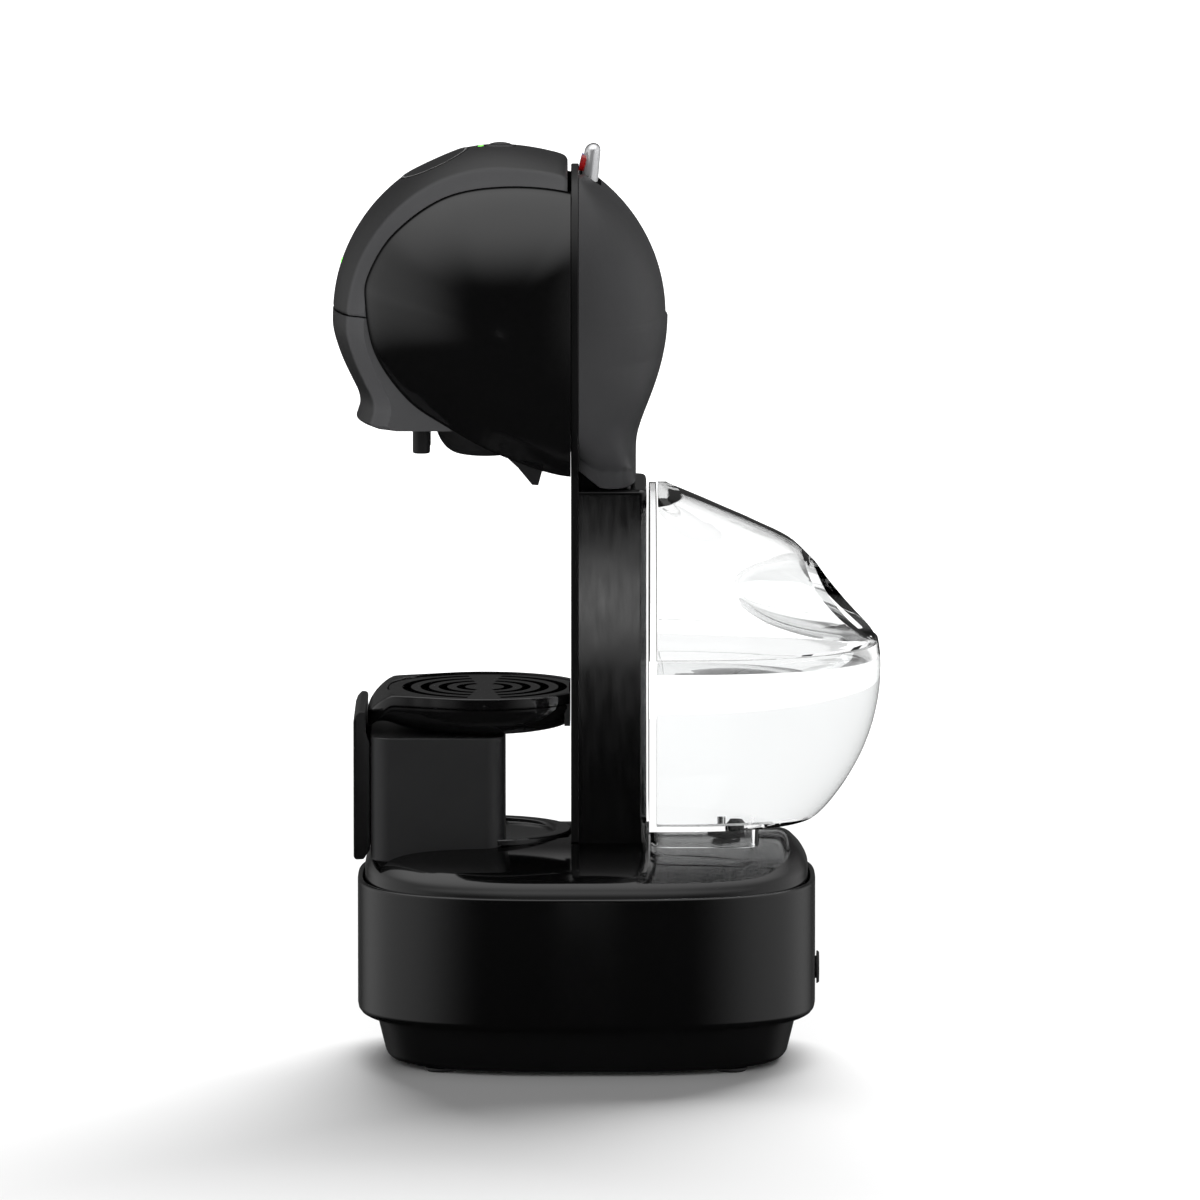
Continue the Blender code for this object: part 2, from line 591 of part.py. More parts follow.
def make_pod_holder(matte, dark):
    """The drawer that carries the pod cup, with the handle's lower front as its face."""
    holder = new_part("pod_holder", loft([lip_ring(z) for z, _ in LIP]), matte)
    join(holder, new_part("holder_plate", block(-36.2, 36.2, -90, -23.4, 300, 311.6, 3), matte, guide=True))
    for number, (x, y0, y1, z0, r) in enumerate(((12, -87.6, -78, 266.5, 3.2), (-12, -87.6, -78, 266.5, 3.2),
                                                  (0, -81.4, -75, 268.4, 2.8)), 1):
        leg = block(x - 6, x + 6, y0, y1, z0, 305, r)
        join(holder, new_part(f"holder_leg_{number}", leg, matte, guide=True))
    cut(holder, new_part("cup_bore", rod(24.9, 250, 330, (0, POD_Y, 0), steps=28), matte, guide=True))
    finger = prism(rounded(-26, 26, 268, 292, 6), -103, -88, "Y")
    cut(holder, new_part("finger_grip", finger, matte, guide=True))

    outside = [(3.0, 264.4), (11, 264.6), (16.5, 267.0), (20.5, 272.5), (23.4, 282), (24.4, 312.0),
               (27.4, 312.0), (27.4, POD_RIM)]
    inside = [(24.6, POD_RIM), (22.4, 313.4), (21.2, 283), (18.2, 275), (14.6, 270), (3.0, 268.2)]
    cup = new_part("pod_cup", turned(outside + inside, (0, POD_Y, 0), closed=True, steps=28), dark)
    hang("holder_slide", (0, POD_Y, POD_RIM), [holder, cup])


def make_injector(steel, rubber, dark):
    """Presses on the pod from above and lifts as the handle opens."""
    plate = [(2.3, 318.9), (25.6, 318.9), (25.6, 323.6), (23.8, 325.4), (6, 325.4), (6, 352), (2.3, 352)]
    body = new_part("injector_plate", turned(plate, (0, POD_Y, 0), closed=True, steps=32), dark)
    seal = new_part("injector_seal", turned([(20.5, 316.5), (25.0, 316.5), (25.0, 318.6), (20.5, 318.6)],
                                            (0, POD_Y, 0), closed=True, steps=32), rubber)
    tip = [(0, 316.4), (0.7, 317.0), (1.9, 320.4), (1.9, 351), (0, 351)]
    needle = new_part("injector_needle", turned(tip, (0, POD_Y, 0), steps=12), steel)
    hang("injector_guide", (0, POD_Y, 330), [body, seal, needle])


# ---------- drip tray and its stand ----------

def make_drip_group(gloss, satin, deck_clearance):
    stand_outline = rounded(-39.5, 39.5, -103, -44.5, 9, 4)
    stand = new_part("drip_stand", prism(stand_outline, 90, STAND_TOP), satin)
    hollow = prism(rounded(-36.7, 36.7, -100.2, -47.3, 7, 3), 80, STAND_TOP - 3)
    cut(stand, new_part("stand_room", hollow, satin, guide=True))
    seat_room = rod(38.3, 90, 100.3, (0, TRAY_Y, 0), steps=40)
    cut(stand, deck_clearance, new_part("seat_room", seat_room, satin, guide=True))
    plate = prism([(-110.4, 91.0), (-105.8, 90.2), (-103.4, 95), (-103.4, 139), (-105.6, 146), (-107.0, 154.4),
                   (-108.6, 155.6), (-110.2, 154)], -33, 33, "X")
    front = new_part("stand_front_plate", plate, gloss)
    cut(front, deck_clearance)

    profile = [(0, 145.0), (30, 145.0), (37, 147.2), (42.4, 152.4), (TRAY_RADIUS - 0.4, 157.6), (TRAY_RADIUS, 158.6),
               (TRAY_RADIUS, 161.7), (TRAY_RADIUS - 0.8, TRAY_TOP), (42.6, TRAY_TOP), (42.6, 157.6), (39, 152.6),
               (34, 149.4), (28, 147.6), (0, 147.6)]
    tray = new_part("drip_tray", turned(profile, (0, TRAY_Y, 0), steps=36), gloss)
    apron = prism([(-104.6, 147.0), (-88, 145.2), (-86, 160), (-95, 160.8)], -30, 30, "X")
    join(tray, new_part("tray_apron", apron, gloss, guide=True))
    bowl = [(0, 147.6), (28, 147.6), (34, 149.4), (39, 152.6), (42.6, 157.6), (42.6, 170), (0, 170)]
    cut(tray, new_part("tray_bowl", turned(bowl, (0, TRAY_Y, 0), steps=36), gloss, guide=True))
    cut(tray, new_part("column_room_front", block(-60, 60, -16.0, 20, 130, 180), gloss, guide=True))

    grid = new_part("drip_grid", rod(42.2, 158.2, 161.9, (0, TRAY_Y, 0), steps=36), gloss)
    for ring in range(4):
        inner = 8.5 + ring * 7.9
        for half in range(2):
            profile = [(inner, 150), (inner + 3.8, 150), (inner + 3.8, 170), (inner, 170)]
            slot = ring_slot(profile, half * 180 + 9 + 12 / (ring + 1), 162 - 24 / (ring + 1))
            cut(grid, new_part(f"grid_slot_{ring}_{half}", slot, gloss, guide=True))
    cut(grid, new_part("grid_back", block(-60, 60, -16.6, 20, 130, 180), gloss, guide=True))
    lip = tray_back_lip()
    join(tray, new_part("tray_lip", lip, gloss, guide=True))
    hang("stand_seat", (0, TRAY_Y, 99), [stand, front])
    hang("tray_seat", (0, TRAY_Y, 145), [tray])
    hang("grid_seat", (0, TRAY_Y, 158), [grid])


def tray_back_lip():
    """Closes the bowl where the tray is cut flat beside the spine."""
    reach = math.sqrt(43.5 ** 2 - (-18.4 - TRAY_Y) ** 2)
    return block(-reach, reach, -18.6, -16.0, 148.2, 157.9)


def ring_slot(profile, start, sweep):
    bm = bmesh.new()
    face = bm.faces.new([bm.verts.new((radius, 0, height)) for radius, height in profile])
    bmesh.ops.spin(bm, geom=[face], cent=(0, 0, 0), axis=(0, 0, 1), angle=math.radians(sweep),
                   steps=max(6, round(sweep / 12)), use_merge=False, use_duplicate=False)
    bmesh.ops.recalc_face_normals(bm, faces=bm.faces)
    bmesh.ops.rotate(bm, verts=bm.verts, cent=(0, 0, 0), matrix=Matrix.Rotation(math.radians(start), 3, "Z"))
    bmesh.ops.translate(bm, verts=bm.verts, vec=(0, TRAY_Y, 0))
    return bm


# ---------- water tank ----------

TANK_BACK = ((TANK_BOTTOM, 88.0), (108, 92.4), (116, 99.8), (127, 107.2), (141, 113.8), (156, 118.0),
             (170, 119.4), (183.2, 118.6))
LID_BACK = ((183.8, 117.4), (187.1, 115.6), (199.7, 106.4), (211.9, 94.9), (224.2, 82.9), (230.6, 70.6),
            (237.5, 54.6), (243.4, 41.0), (248.6, 25.5))


def tank_ring(z, back, front, width, count=12):
    """A level section of the tank: flat in front and round behind."""
    depth = back - front - 4
    ring = [(width, front, z)]
    for k in range(count + 1):
        angle = math.pi * k / count
        x = math.copysign(abs(math.cos(angle)) ** 0.8, math.cos(angle)) * width
        ring.append((x, front + 4 + math.sin(angle) ** 0.8 * depth, z))
    ring.append((-width, front, z))
    return ring


def tank_width(z):
    if z < LID_LINE:
        return TANK_WIDTH * (1 - 0.30 * ((LID_LINE - z) / 78) ** 2.2)
    return TANK_WIDTH * (1 - ((z - LID_LINE) / 70) ** 2.4) ** 0.5


def make_tank(clear, dark, rubber, deck_clearance):
    back = TANK_FRONT + 3.3
    body = new_part("tank_body", loft([tank_ring(z, y, TANK_FRONT, tank_width(z)) for z, y in TANK_BACK]), clear)
    arch = [(tank_width(z), z) for z in (150, 170, 183.5, 200, 214, 226, 235, 242, 247)]
    arch_outline = arch + [(20, 249.8), (-20, 249.8)] + [(-x, z) for x, z in reversed(arch)]
    join(body, new_part("tank_flange", prism(arch_outline, TANK_FRONT, back, "Y"), clear, guide=True))
    skirt = new_part("tank_skirt", prism(rounded(-46, 46, TANK_FRONT + 0.6, 66, 8), 92, 108), clear, guide=True)
    join(body, skirt)
    room = [tank_ring(z, y - 2.6, back, tank_width(z) - 2.6) for z, y in TANK_BACK[1:]]
    room.append(tank_ring(190, 115.8, back, TANK_WIDTH - 2.6))
    cut(body, new_part("tank_room", loft(room), clear, guide=True))
    under = block(-43.4, 43.4, TANK_FRONT + 3.2, 63.4, 80, TANK_BOTTOM, 6)
    cut(body, new_part("skirt_room", under, clear, guide=True))
    cut(body, new_part("outlet_bore", rod(4.3, 90, 112, (0, 53, 0), steps=16), clear, guide=True))
    cut(body, deck_clearance)
    valve = [(0, 101.2), (2.0, 101.2), (4.0, 102.6), (4.0, 108.3), (6.6, 108.3), (6.6, 110), (3, 114), (0, 114)]
    stem = new_part("tank_valve", turned(valve, (0, 53, 0), steps=16), dark)

    lid = new_part("tank_lid", loft([tank_ring(z, y, back + 0.6, tank_width(z)) for z, y in LID_BACK]), clear)
    hollow_rings = [tank_ring(180, 115.2, back - 8, TANK_WIDTH - 2.4)]
    hollow_rings += [tank_ring(z - 2.6, y - 2.6, back - 8, tank_width(z) - 2.4) for z, y in LID_BACK[1:-1]]
    hollow = new_part("lid_room", loft(hollow_rings), clear, guide=True)
    cut(hollow, new_part("grip_wall", grip_shape(2.4), clear, guide=True))
    cut(lid, new_part("grip_pocket", grip_shape(0), clear, guide=True), hollow)

    seat = new_part("valve_block", block(-13, 13, 44, 62, 88, 100.9, 5), dark)
    cut(seat, deck_clearance, new_part("valve_socket", rod(4.4, 80, 120, (0, 53, 0), steps=16), dark, guide=True))
    ring = [(5.6 + 0.9 * math.cos(a * TAU / 8), 102.15 + 0.9 * math.sin(a * TAU / 8)) for a in range(8)]
    new_part("valve_seal", turned(ring, (0, 53, 0), closed=True, steps=20), rubber)
    hang("tank_seat", (0, 53, 101), [body, stem])
    hang("lid_axis", (0, *LID_PIVOT), [lid])


def grip_shape(grow):
    """The rounded pocket for fingers in the sloping back of the lid."""
    bm = bmesh.new()
    bmesh.ops.create_uvsphere(bm, u_segments=16, v_segments=8, radius=1)
    bmesh.ops.scale(bm, vec=(34 + grow, 44 + grow, 15.5 + grow), verts=bm.verts)
    place = Matrix.Translation((0, 101, 200.5)) @ Matrix.Rotation(math.radians(-9), 4, "X")
    bmesh.ops.transform(bm, matrix=place, verts=bm.verts)
    return bm


def main():
    clear_scene()
    matte = finish("matte_charcoal", (0.035, 0.035, 0.037), 0.45)
    satin = finish("satin_charcoal", (0.03, 0.03, 0.032), 0.35)
    gloss = finish("gloss_black", (0.008, 0.008, 0.009), 0.08)
    dark = finish("black_plastic", (0.015, 0.015, 0.016), 0.4)
    grey = finish("grey_plastic", (0.3, 0.3, 0.31), 0.35)
    rubber = finish("rubber", (0.02, 0.02, 0.02), 0.8)
    steel = finish("steel", (0.55, 0.55, 0.56), 0.3, 1.0)
    chrome = finish("chrome", (0.8, 0.8, 0.82), 0.06, 1.0)
    green = finish("green_light", (0.15, 0.9, 0.2), 0.3)
    red = finish("red_mark", (0.6, 0.01, 0.01), 0.3)
    blue = finish("blue_mark", (0.02, 0.1, 0.6), 0.3)
    board_green = finish("board_green", (0.02, 0.2, 0.08), 0.5)
    hose = finish("hose_silicone", (0.7, 0.7, 0.68), 0.5)
    clear = finish("clear_plastic", (0.9, 0.92, 0.93), 0.05, 0.0, 0.3)
    deck_clearance = deck_solid("deck_clearance", GAP, 40, gloss)
    make_base(dark, gloss, rubber, steel, grey)
    make_works(dark, board_green, rubber, steel)
    make_hoses(hose)
    make_spine(gloss, deck_clearance)
    make_rear_shell(matte, dark)
    make_head_frame(dark)
    make_side_panels(gloss)
    make_handle(matte, gloss, green, steel)
    make_lever(chrome, dark, red, blue)
    make_pod_holder(matte, dark)
    make_injector(steel, rubber, dark)
    make_drip_group(gloss, satin, deck_clearance)
    make_tank(clear, dark, rubber, deck_clearance)


main()
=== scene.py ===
import json
import math
import bmesh
import bpy
from mathutils import Matrix, Vector


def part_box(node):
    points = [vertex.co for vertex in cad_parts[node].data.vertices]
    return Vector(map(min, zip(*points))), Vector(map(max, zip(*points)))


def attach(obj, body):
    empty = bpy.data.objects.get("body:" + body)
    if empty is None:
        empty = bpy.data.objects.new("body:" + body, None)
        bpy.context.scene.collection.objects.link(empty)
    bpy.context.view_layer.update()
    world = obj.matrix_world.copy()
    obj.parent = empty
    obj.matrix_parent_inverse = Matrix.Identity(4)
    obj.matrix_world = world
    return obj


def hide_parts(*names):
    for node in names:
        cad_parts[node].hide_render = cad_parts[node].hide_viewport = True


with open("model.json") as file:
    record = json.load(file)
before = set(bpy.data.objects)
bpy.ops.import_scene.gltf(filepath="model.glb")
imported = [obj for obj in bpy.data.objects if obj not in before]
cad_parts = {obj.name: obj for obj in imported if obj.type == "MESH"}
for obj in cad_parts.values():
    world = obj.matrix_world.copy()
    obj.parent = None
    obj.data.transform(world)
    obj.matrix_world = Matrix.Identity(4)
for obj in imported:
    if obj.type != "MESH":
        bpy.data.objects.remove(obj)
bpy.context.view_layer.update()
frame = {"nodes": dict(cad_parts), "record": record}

mm = 0.001
fullTurn = 2 * math.pi


# shader tools

# a node socket that takes part in Python sums
class Wire:
    def __init__(self, tree, socket=None):
        self.tree = tree
        self.socket = socket

    def node(self, kind, settings=None, inputs=None, output=0):
        made = self.tree.nodes.new(kind)
        for name, value in (settings or {}).items():
            if name == "stops":
                for element, (place, colour) in zip(made.color_ramp.elements, value):
                    element.position = place
                    element.color = colour
            else:
                setattr(made, name, value)
        for name, value in (inputs or {}).items():
            if isinstance(value, Wire):
                self.tree.links.new(value.socket, made.inputs[name])
            else:
                made.inputs[name].default_value = value
        return Wire(self.tree, made.outputs[output] if made.outputs else None)

    def sum(self, operation, first, second=0.0):
        return self.node("ShaderNodeMath", {"operation": operation}, {0: first, 1: second})

    def __add__(self, other):
        return self.sum("ADD", self, other)

    def __radd__(self, other):
        return self.sum("ADD", other, self)

    def __sub__(self, other):
        return self.sum("SUBTRACT", self, other)

    def __rsub__(self, other):
        return self.sum("SUBTRACT", other, self)

    def __mul__(self, other):
        return self.sum("MULTIPLY", self, other)

    def __rmul__(self, other):
        return self.sum("MULTIPLY", other, self)

    def __pow__(self, other):
        return self.sum("POWER", self, other)

    def noise(self, place, scale, detail=3.0):
        return self.node("ShaderNodeTexNoise", None, {"Vector": place, "Scale": scale, "Detail": detail})

    def blend(self, share, low, high):
        settings = {"data_type": "RGBA", "clamp_factor": True}
        return self.node("ShaderNodeMix", settings, {0: share, 6: low, 7: high}, output=2)

    def stretch(self, place, scale):
        return self.node("ShaderNodeMapping", None, {"Vector": place, "Scale": scale})

    def bump(self, height, strength, distance):
        sockets = {"Height": height, "Strength": strength, "Distance": distance}
        return self.node("ShaderNodeBump", None, sockets)


# a Principled material with its constant sockets set; returns it with its shader and object coordinates
def newFinish(name, constants):
    material = bpy.data.materials.new(name)
    material.use_nodes = True
    shader = material.node_tree.nodes["Principled BSDF"]
    for socket, value in constants.items():
        shader.inputs[socket].default_value = value
    start = Wire(material.node_tree)
    return material, shader, start, start.node("ShaderNodeTexCoord", output=3)


def plug(shader, **links):
    names = {"colour": "Base Color", "roughness": "Roughness", "normal": "Normal", "glow": "Emission Color"}
    for name, wire in links.items():
        wire.tree.links.new(wire.socket, shader.inputs[names[name]])


def grey(level, tint=0.0):
    return (level, level, level * (1 + tint), 1)


# fine-grained moulded plastic: a spark-eroded grain, faint flow clouds and handling marks
def mouldedFinish(name, level, roughness, grain, height, sheen=0.5):
    material, shader, start, place = newFinish(name, {"IOR": 1.49, "Specular IOR Level": sheen})
    fine = start.noise(place, grain, 4.0)
    clouds = start.noise(place, 22.0, 4.0)
    smudges = start.noise(place, 70.0, 5.0)
    plug(shader,
         colour=start.blend(clouds * 0.75 + fine * 0.25, grey(level * 0.82, 0.03), grey(level * 1.2, 0.05)),
         roughness=roughness + (smudges - 0.5) * 0.10 + (fine - 0.5) * 0.06,
         normal=start.bump(fine, 0.5, height))
    return material


# the hoop's plastic, with painted light: its crown is painted darker as painted shade and its flanks outside
# the crease paler as a painted highlight
def hoopFinish(name):
    material, shader, start, place = newFinish(name, {"IOR": 1.49, "Specular IOR Level": 0.3})
    across = start.node("ShaderNodeSeparateXYZ", None, {0: place}, output=0)
    # mask of the flanks outside the crease, where the painted highlight goes
    flankHighlightMask = start.node("ShaderNodeMapRange", {"interpolation_type": "SMOOTHSTEP"},
                       {"Value": start.sum("ABSOLUTE", across), "From Min": 0.0335, "From Max": 0.0365})
    fine = start.noise(place, 2600.0, 4.0)
    clouds = start.noise(place, 22.0, 4.0)
    # painted light: a darker tone on the crown as painted shade and a paler tone on the flanks as a painted
    # highlight
    crownShadeTone = start.blend(clouds, grey(0.013, 0.03), grey(0.019, 0.05))
    flankHighlightTone = start.blend(clouds, grey(0.062, 0.03), grey(0.082, 0.05))
    plug(shader,
         colour=start.blend(flankHighlightMask, crownShadeTone, flankHighlightTone),
         roughness=0.38 + (fine - 0.5) * 0.08,
         normal=start.bump(fine, 0.5, 0.00008))
    return material


# polished black plastic: deep gloss, faint wipe marks, dust-fine specks and slight waviness
def pianoFinish(name, level, roughness):
    settings = {"IOR": 1.47, "Coat Weight": 0.1, "Coat Roughness": 0.03}
    material, shader, start, place = newFinish(name, settings)
    wave = start.noise(place, 14.0, 2.0)
    wipes = start.noise(start.stretch(place, (1.0, 5.0, 1.0)), 60.0, 6.0)
    specks = start.noise(place, 1900.0, 2.0) ** 9.0
    plug(shader,
         colour=start.blend(specks * 6.0, grey(level, 0.04), grey(level * 3.0, 0.04)),
         roughness=roughness + wipes * 0.05 + specks * 0.5,
         normal=start.bump(wave * 0.8 + wipes * 0.01, 0.10, 0.0006))
    return material


# plated lever: mirror bright with hair lines from polishing
def chromeFinish():
    material, shader, start, place = newFinish("chromePlate", {"Metallic": 0.6})
    hair = start.noise(start.stretch(place, (1.0, 1.0, 14.0)), 420.0, 4.0)
    haze = start.noise(place, 160.0, 3.0)
    plug(shader,
         colour=start.blend(haze, (0.80, 0.81, 0.83, 1), (0.90, 0.90, 0.91, 1)),
         roughness=0.035 + hair * 0.05,
         normal=start.bump(hair, 0.06, 0.0001))
    return material


def steelFinish(name, level, direction, roughness):
    material, shader, start, place = newFinish(name, {"Metallic": 1.0})
    lines = start.noise(start.stretch(place, direction), 260.0, 5.0)
    stain = start.noise(place, 40.0, 3.0)
    plug(shader,
         colour=start.blend(stain, grey(level * 0.8), grey(level, 0.02)),
         roughness=roughness + lines * 0.18,
         normal=start.bump(lines, 0.3, 0.0001))
    return material


def rubberFinish():
    material, shader, start, place = newFinish("softRubber", {"IOR": 1.52})
    pores = start.noise(place, 1300.0, 4.0)
    bloom = start.noise(place, 90.0, 5.0)
    plug(shader,
         colour=start.blend(bloom, grey(0.012), grey(0.035, 0.02)),
         roughness=0.62 + bloom * 0.25,
         normal=start.bump(pores, 0.6, 0.0002))
    return material


# clear moulded plastic and water: slight ripples from the mould, nothing coloured
def clearFinish(name, tint, refraction, ripple, roughness):
    constants = {"Transmission Weight": 1.0, "IOR": refraction, "Base Color": tint}
    material, shader, start, place = newFinish(name, constants)
    waves = start.noise(place, 26.0, 2.0)
    wipes = start.noise(place, 300.0, 4.0)
    plug(shader,
         roughness=roughness + (wipes ** 4.0) * 0.05,
         normal=start.bump(waves, ripple, 0.0008))
    return material


def lampFinish():
    settings = {"Base Color": (0.12, 0.75, 0.12, 1), "Emission Strength": 2.2, "Roughness": 0.25}
    material, shader, start, place = newFinish("litGreen", settings)
    cells = start.node("ShaderNodeTexVoronoi", None, {"Vector": place, "Scale": 1400.0})
    plug(shader,
         glow=start.blend(cells, (0.30, 1.0, 0.12, 1), (0.12, 0.80, 0.08, 1)),
         roughness=0.2 + cells * 0.2)
    return material


def enamelFinish(name, crownShadeTone, bright):
    material, shader, start, place = newFinish(name, {"Coat Weight": 0.6, "Coat Roughness": 0.05})
    depth = start.noise(place, 260.0, 3.0)
    peel = start.noise(place, 900.0, 2.0)
    plug(shader,
         colour=start.blend(depth, crownShadeTone, bright),
         roughness=0.18 + peel * 0.12,
         normal=start.bump(peel, 0.15, 0.0001))
    return material


# green board with pale tracks, used inside only
def boardFinish():
    material, shader, start, place = newFinish("circuitBoard", {"Coat Weight": 0.3})
    tracks = start.node("ShaderNodeTexBrick", {"offset": 0.35}, {
        "Vector": place, "Scale": 160.0, "Color1": (0.01, 0.10, 0.04, 1), "Color2": (0.015, 0.13, 0.05, 1),
        "Mortar": (0.05, 0.32, 0.12, 1), "Mortar Size": 0.06})
    flux = start.noise(place, 120.0, 4.0)
    plug(shader, colour=tracks, roughness=0.3 + flux * 0.3)
    return material


def hoseFinish():
    settings = {"Transmission Weight": 0.25, "IOR": 1.41}
    material, shader, start, place = newFinish("milkySilicone", settings)
    rings = start.node("ShaderNodeTexWave", {"bands_direction": "Z"}, {"Vector": place, "Scale": 220.0})
    cloud = start.noise(place, 140.0, 3.0)
    plug(shader,
         colour=start.blend(cloud, (0.62, 0.62, 0.58, 1), (0.78, 0.78, 0.75, 1)),
         roughness=0.35 + cloud * 0.2,
         normal=start.bump(rings, 0.1, 0.0002))
    return material


# printed oval outline on the badge: a pale ring near the rim of a black plate
def badgeFinish(centre, tilt, halfWidth, halfLength):
    material, shader, start, place = newFinish("badgePrint", {"IOR": 1.5, "Specular IOR Level": 0.2})
    moved = start.node("ShaderNodeMapping", {"vector_type": "TEXTURE"}, {
        "Vector": place, "Location": centre, "Rotation": (tilt, 0, 0), "Scale": (halfWidth, halfLength, 1.0)})
    flat = start.node("ShaderNodeVectorMath", {"operation": "MULTIPLY"}, {0: moved, 1: (1, 1, 0)})
    reach = start.node("ShaderNodeVectorMath", {"operation": "LENGTH"}, {0: flat}, output=1)
    outline = start.sum("LESS_THAN", start.sum("ABSOLUTE", reach - 0.94), 0.028)
    weave = start.noise(place, 2600.0, 3.0)
    plug(shader,
         colour=start.blend(outline, grey(0.016, 0.03), grey(0.72)),
         roughness=0.4 + weave * 0.15)
    return material


finishes = {
    "matte_black": mouldedFinish("matteBlack", 0.046, 0.42, 2600.0, 0.00008, 0.28),
    "satin_charcoal": mouldedFinish("satinCharcoal", 0.022, 0.36, 2300.0, 0.00008, 0.4),
    "gloss_black": pianoFinish("pianoBlack", 0.0035, 0.05),
    "inner_black": mouldedFinish("innerBlack", 0.012, 0.42, 1500.0, 0.0001),
    "grey_ring": pianoFinish("ringBlack", 0.012, 0.10),
    "rubber_black": rubberFinish(),
    "steel": steelFinish("turnedSteel", 0.62, (1.0, 1.0, 8.0), 0.18),
    "cast_alloy": steelFinish("castAlloy", 0.55, (1.0, 1.0, 1.0), 0.35),
    "chrome": chromeFinish(),
    "green_light": lampFinish(),
    "red_mark": enamelFinish("redEnamel", (0.32, 0.002, 0.004, 1), (0.55, 0.01, 0.01, 1)),
    "blue_mark": enamelFinish("blueEnamel", (0.004, 0.03, 0.32, 1), (0.01, 0.08, 0.55, 1)),
    "circuit_board": boardFinish(),
    "hose_silicone": hoseFinish(),
    "clear_plastic": clearFinish("clearPlastic", (0.988, 0.992, 0.992, 1), 1.3, 0.05, 0.0),
}
# the hoop and pod holder finish, with painted shade on the crown and a painted highlight on the flanks
crownFinish = hoopFinish("hoopBlack")
columnFinish = pianoFinish("columnBlack", 0.0025, 0.015)
spineFinish = mouldedFinish("spineBlack", 0.006, 0.35, 1500.0, 0.00004, 0.25)
footFinish = mouldedFinish("footBlack", 0.006, 0.22, 1500.0, 0.00004)
waterFinish = clearFinish("tankWater", (0.99, 0.995, 0.995, 1), 1.33, 0.02, 0.0)
discFinish = pianoFinish("discBlack", 0.0035, 0.11)
for part in frame["record"]["subparts"]:
    node = frame["nodes"][part["node"]]
    node.data.materials.clear()
    node.data.materials.append(finishes[part["material_slot"]])
bodyOf = {node: body for body, nodes in frame["record"]["behaviour"]["bodies"].items() for node in nodes}
print("finishes made:", len(bpy.data.materials))


# mesh tools

def mix(low, high, share):
    return low + (high - low) * share


def arc(centre, radius, start, end, steps):
    angles = [math.radians(mix(start, end, k / steps)) for k in range(steps + 1)]
    return [(centre[0] + radius * math.cos(a), centre[1] + radius * math.sin(a)) for a in angles]


def rounded(left, right, low, high, radius, steps=8):
    corners = ((right - radius, low + radius, -90), (right - radius, high - radius, 0),
               (left + radius, high - radius, 90), (left + radius, low + radius, 180))
    return [p for x, y, a in corners for p in arc((x, y), radius, a, a + 90, steps)]


# a smooth curve through a few points
def flowing(points, steps, closed=False):
    count = len(points)
    curve = []
    for span in range(count if closed else count - 1):
        picks = [(span + k) % count if closed else min(max(span + k, 0), count - 1) for k in (-1, 0, 1, 2)]
        before, start, end, after = (Vector(points[k]) for k in picks)
        for step in range(steps):
            t = step / steps
            bend = (2 * before - 5 * start + 4 * end - after) * t
            bend += (3 * start - before - 3 * end + after) * t * t
            curve.append(tuple(start + (end - before + bend) * t / 2))
    return curve if closed else curve + [tuple(points[-1])]


def readCurve(points, height):
    for (low, near), (high, far) in zip(points, points[1:]):
        if low <= height <= high:
            return mix(near, far, (height - low) / (high - low))
    return points[-1][1] if height > points[-1][0] else points[0][1]


# joins rings of points, given in millimetres, into one closed shape
def loft(rings):
    bm = bmesh.new()
    loops = []
    for ring in rings:
        verts = [bm.verts.new(point) for point in ring]
        edges = [bm.edges.new((verts[k - 1], verts[k])) for k in range(len(verts))]
        loops.append((verts, edges))
    for (_, low), (_, high) in zip(loops, loops[1:]):
        bmesh.ops.bridge_loops(bm, edges=low + high)
    bmesh.ops.contextual_create(bm, geom=loops[0][1])
    bmesh.ops.contextual_create(bm, geom=loops[-1][1])
    return bm


def prism(outline, low, high, axis="Z"):
    places = {"X": lambda a, b: (low, a, b), "Y": lambda a, b: (a, low, b), "Z": lambda a, b: (a, b, low)}
    place = places[axis]
    along = {"X": (1, 0, 0), "Y": (0, 1, 0), "Z": (0, 0, 1)}[axis]
    bm = bmesh.new()
    face = bm.faces.new([bm.verts.new(place(a, b)) for a, b in outline])
    raised = bmesh.ops.extrude_face_region(bm, geom=[face])["geom"]
    tops = [item for item in raised if isinstance(item, bmesh.types.BMVert)]
    bmesh.ops.translate(bm, verts=tops, vec=Vector(along) * (high - low))
    return bm


def turned(profile, centre, axis="Z", closed=False, steps=96, lean=0.0):
    bm = bmesh.new()
    verts = [bm.verts.new((radius, 0, height)) for radius, height in profile]
    pairs = list(zip(verts, verts[1:])) + ([(verts[-1], verts[0])] if closed else [])
    edges = [bm.edges.new(pair) for pair in pairs]
    bmesh.ops.spin(bm, geom=verts + edges, cent=(0, 0, 0), axis=(0, 0, 1), angle=fullTurn, steps=steps,
                   use_merge=True, use_duplicate=False)
    bmesh.ops.remove_doubles(bm, verts=bm.verts, dist=1e-4)
    turns = {"Z": Matrix.Rotation(0, 4, "X"), "Y": Matrix.Rotation(-fullTurn / 4, 4, "X")}
    place = Matrix.Translation(centre) @ Matrix.Rotation(lean, 4, "X") @ turns[axis]
    bmesh.ops.transform(bm, matrix=place, verts=bm.verts)
    return bm


# rounds every edge sharper than the angle
def softEdges(bm, width, angle=40.0, segments=3):
    bmesh.ops.recalc_face_normals(bm, faces=bm.faces)
    limit = math.radians(angle)
    sharp = [edge for edge in bm.edges if len(edge.link_faces) == 2 and edge.calc_face_angle() > limit]
    bmesh.ops.bevel(bm, geom=sharp, offset=width, offset_type="OFFSET", segments=segments, profile=0.5,
                    affect="EDGES", material=-1, clamp_overlap=True)
    return bm


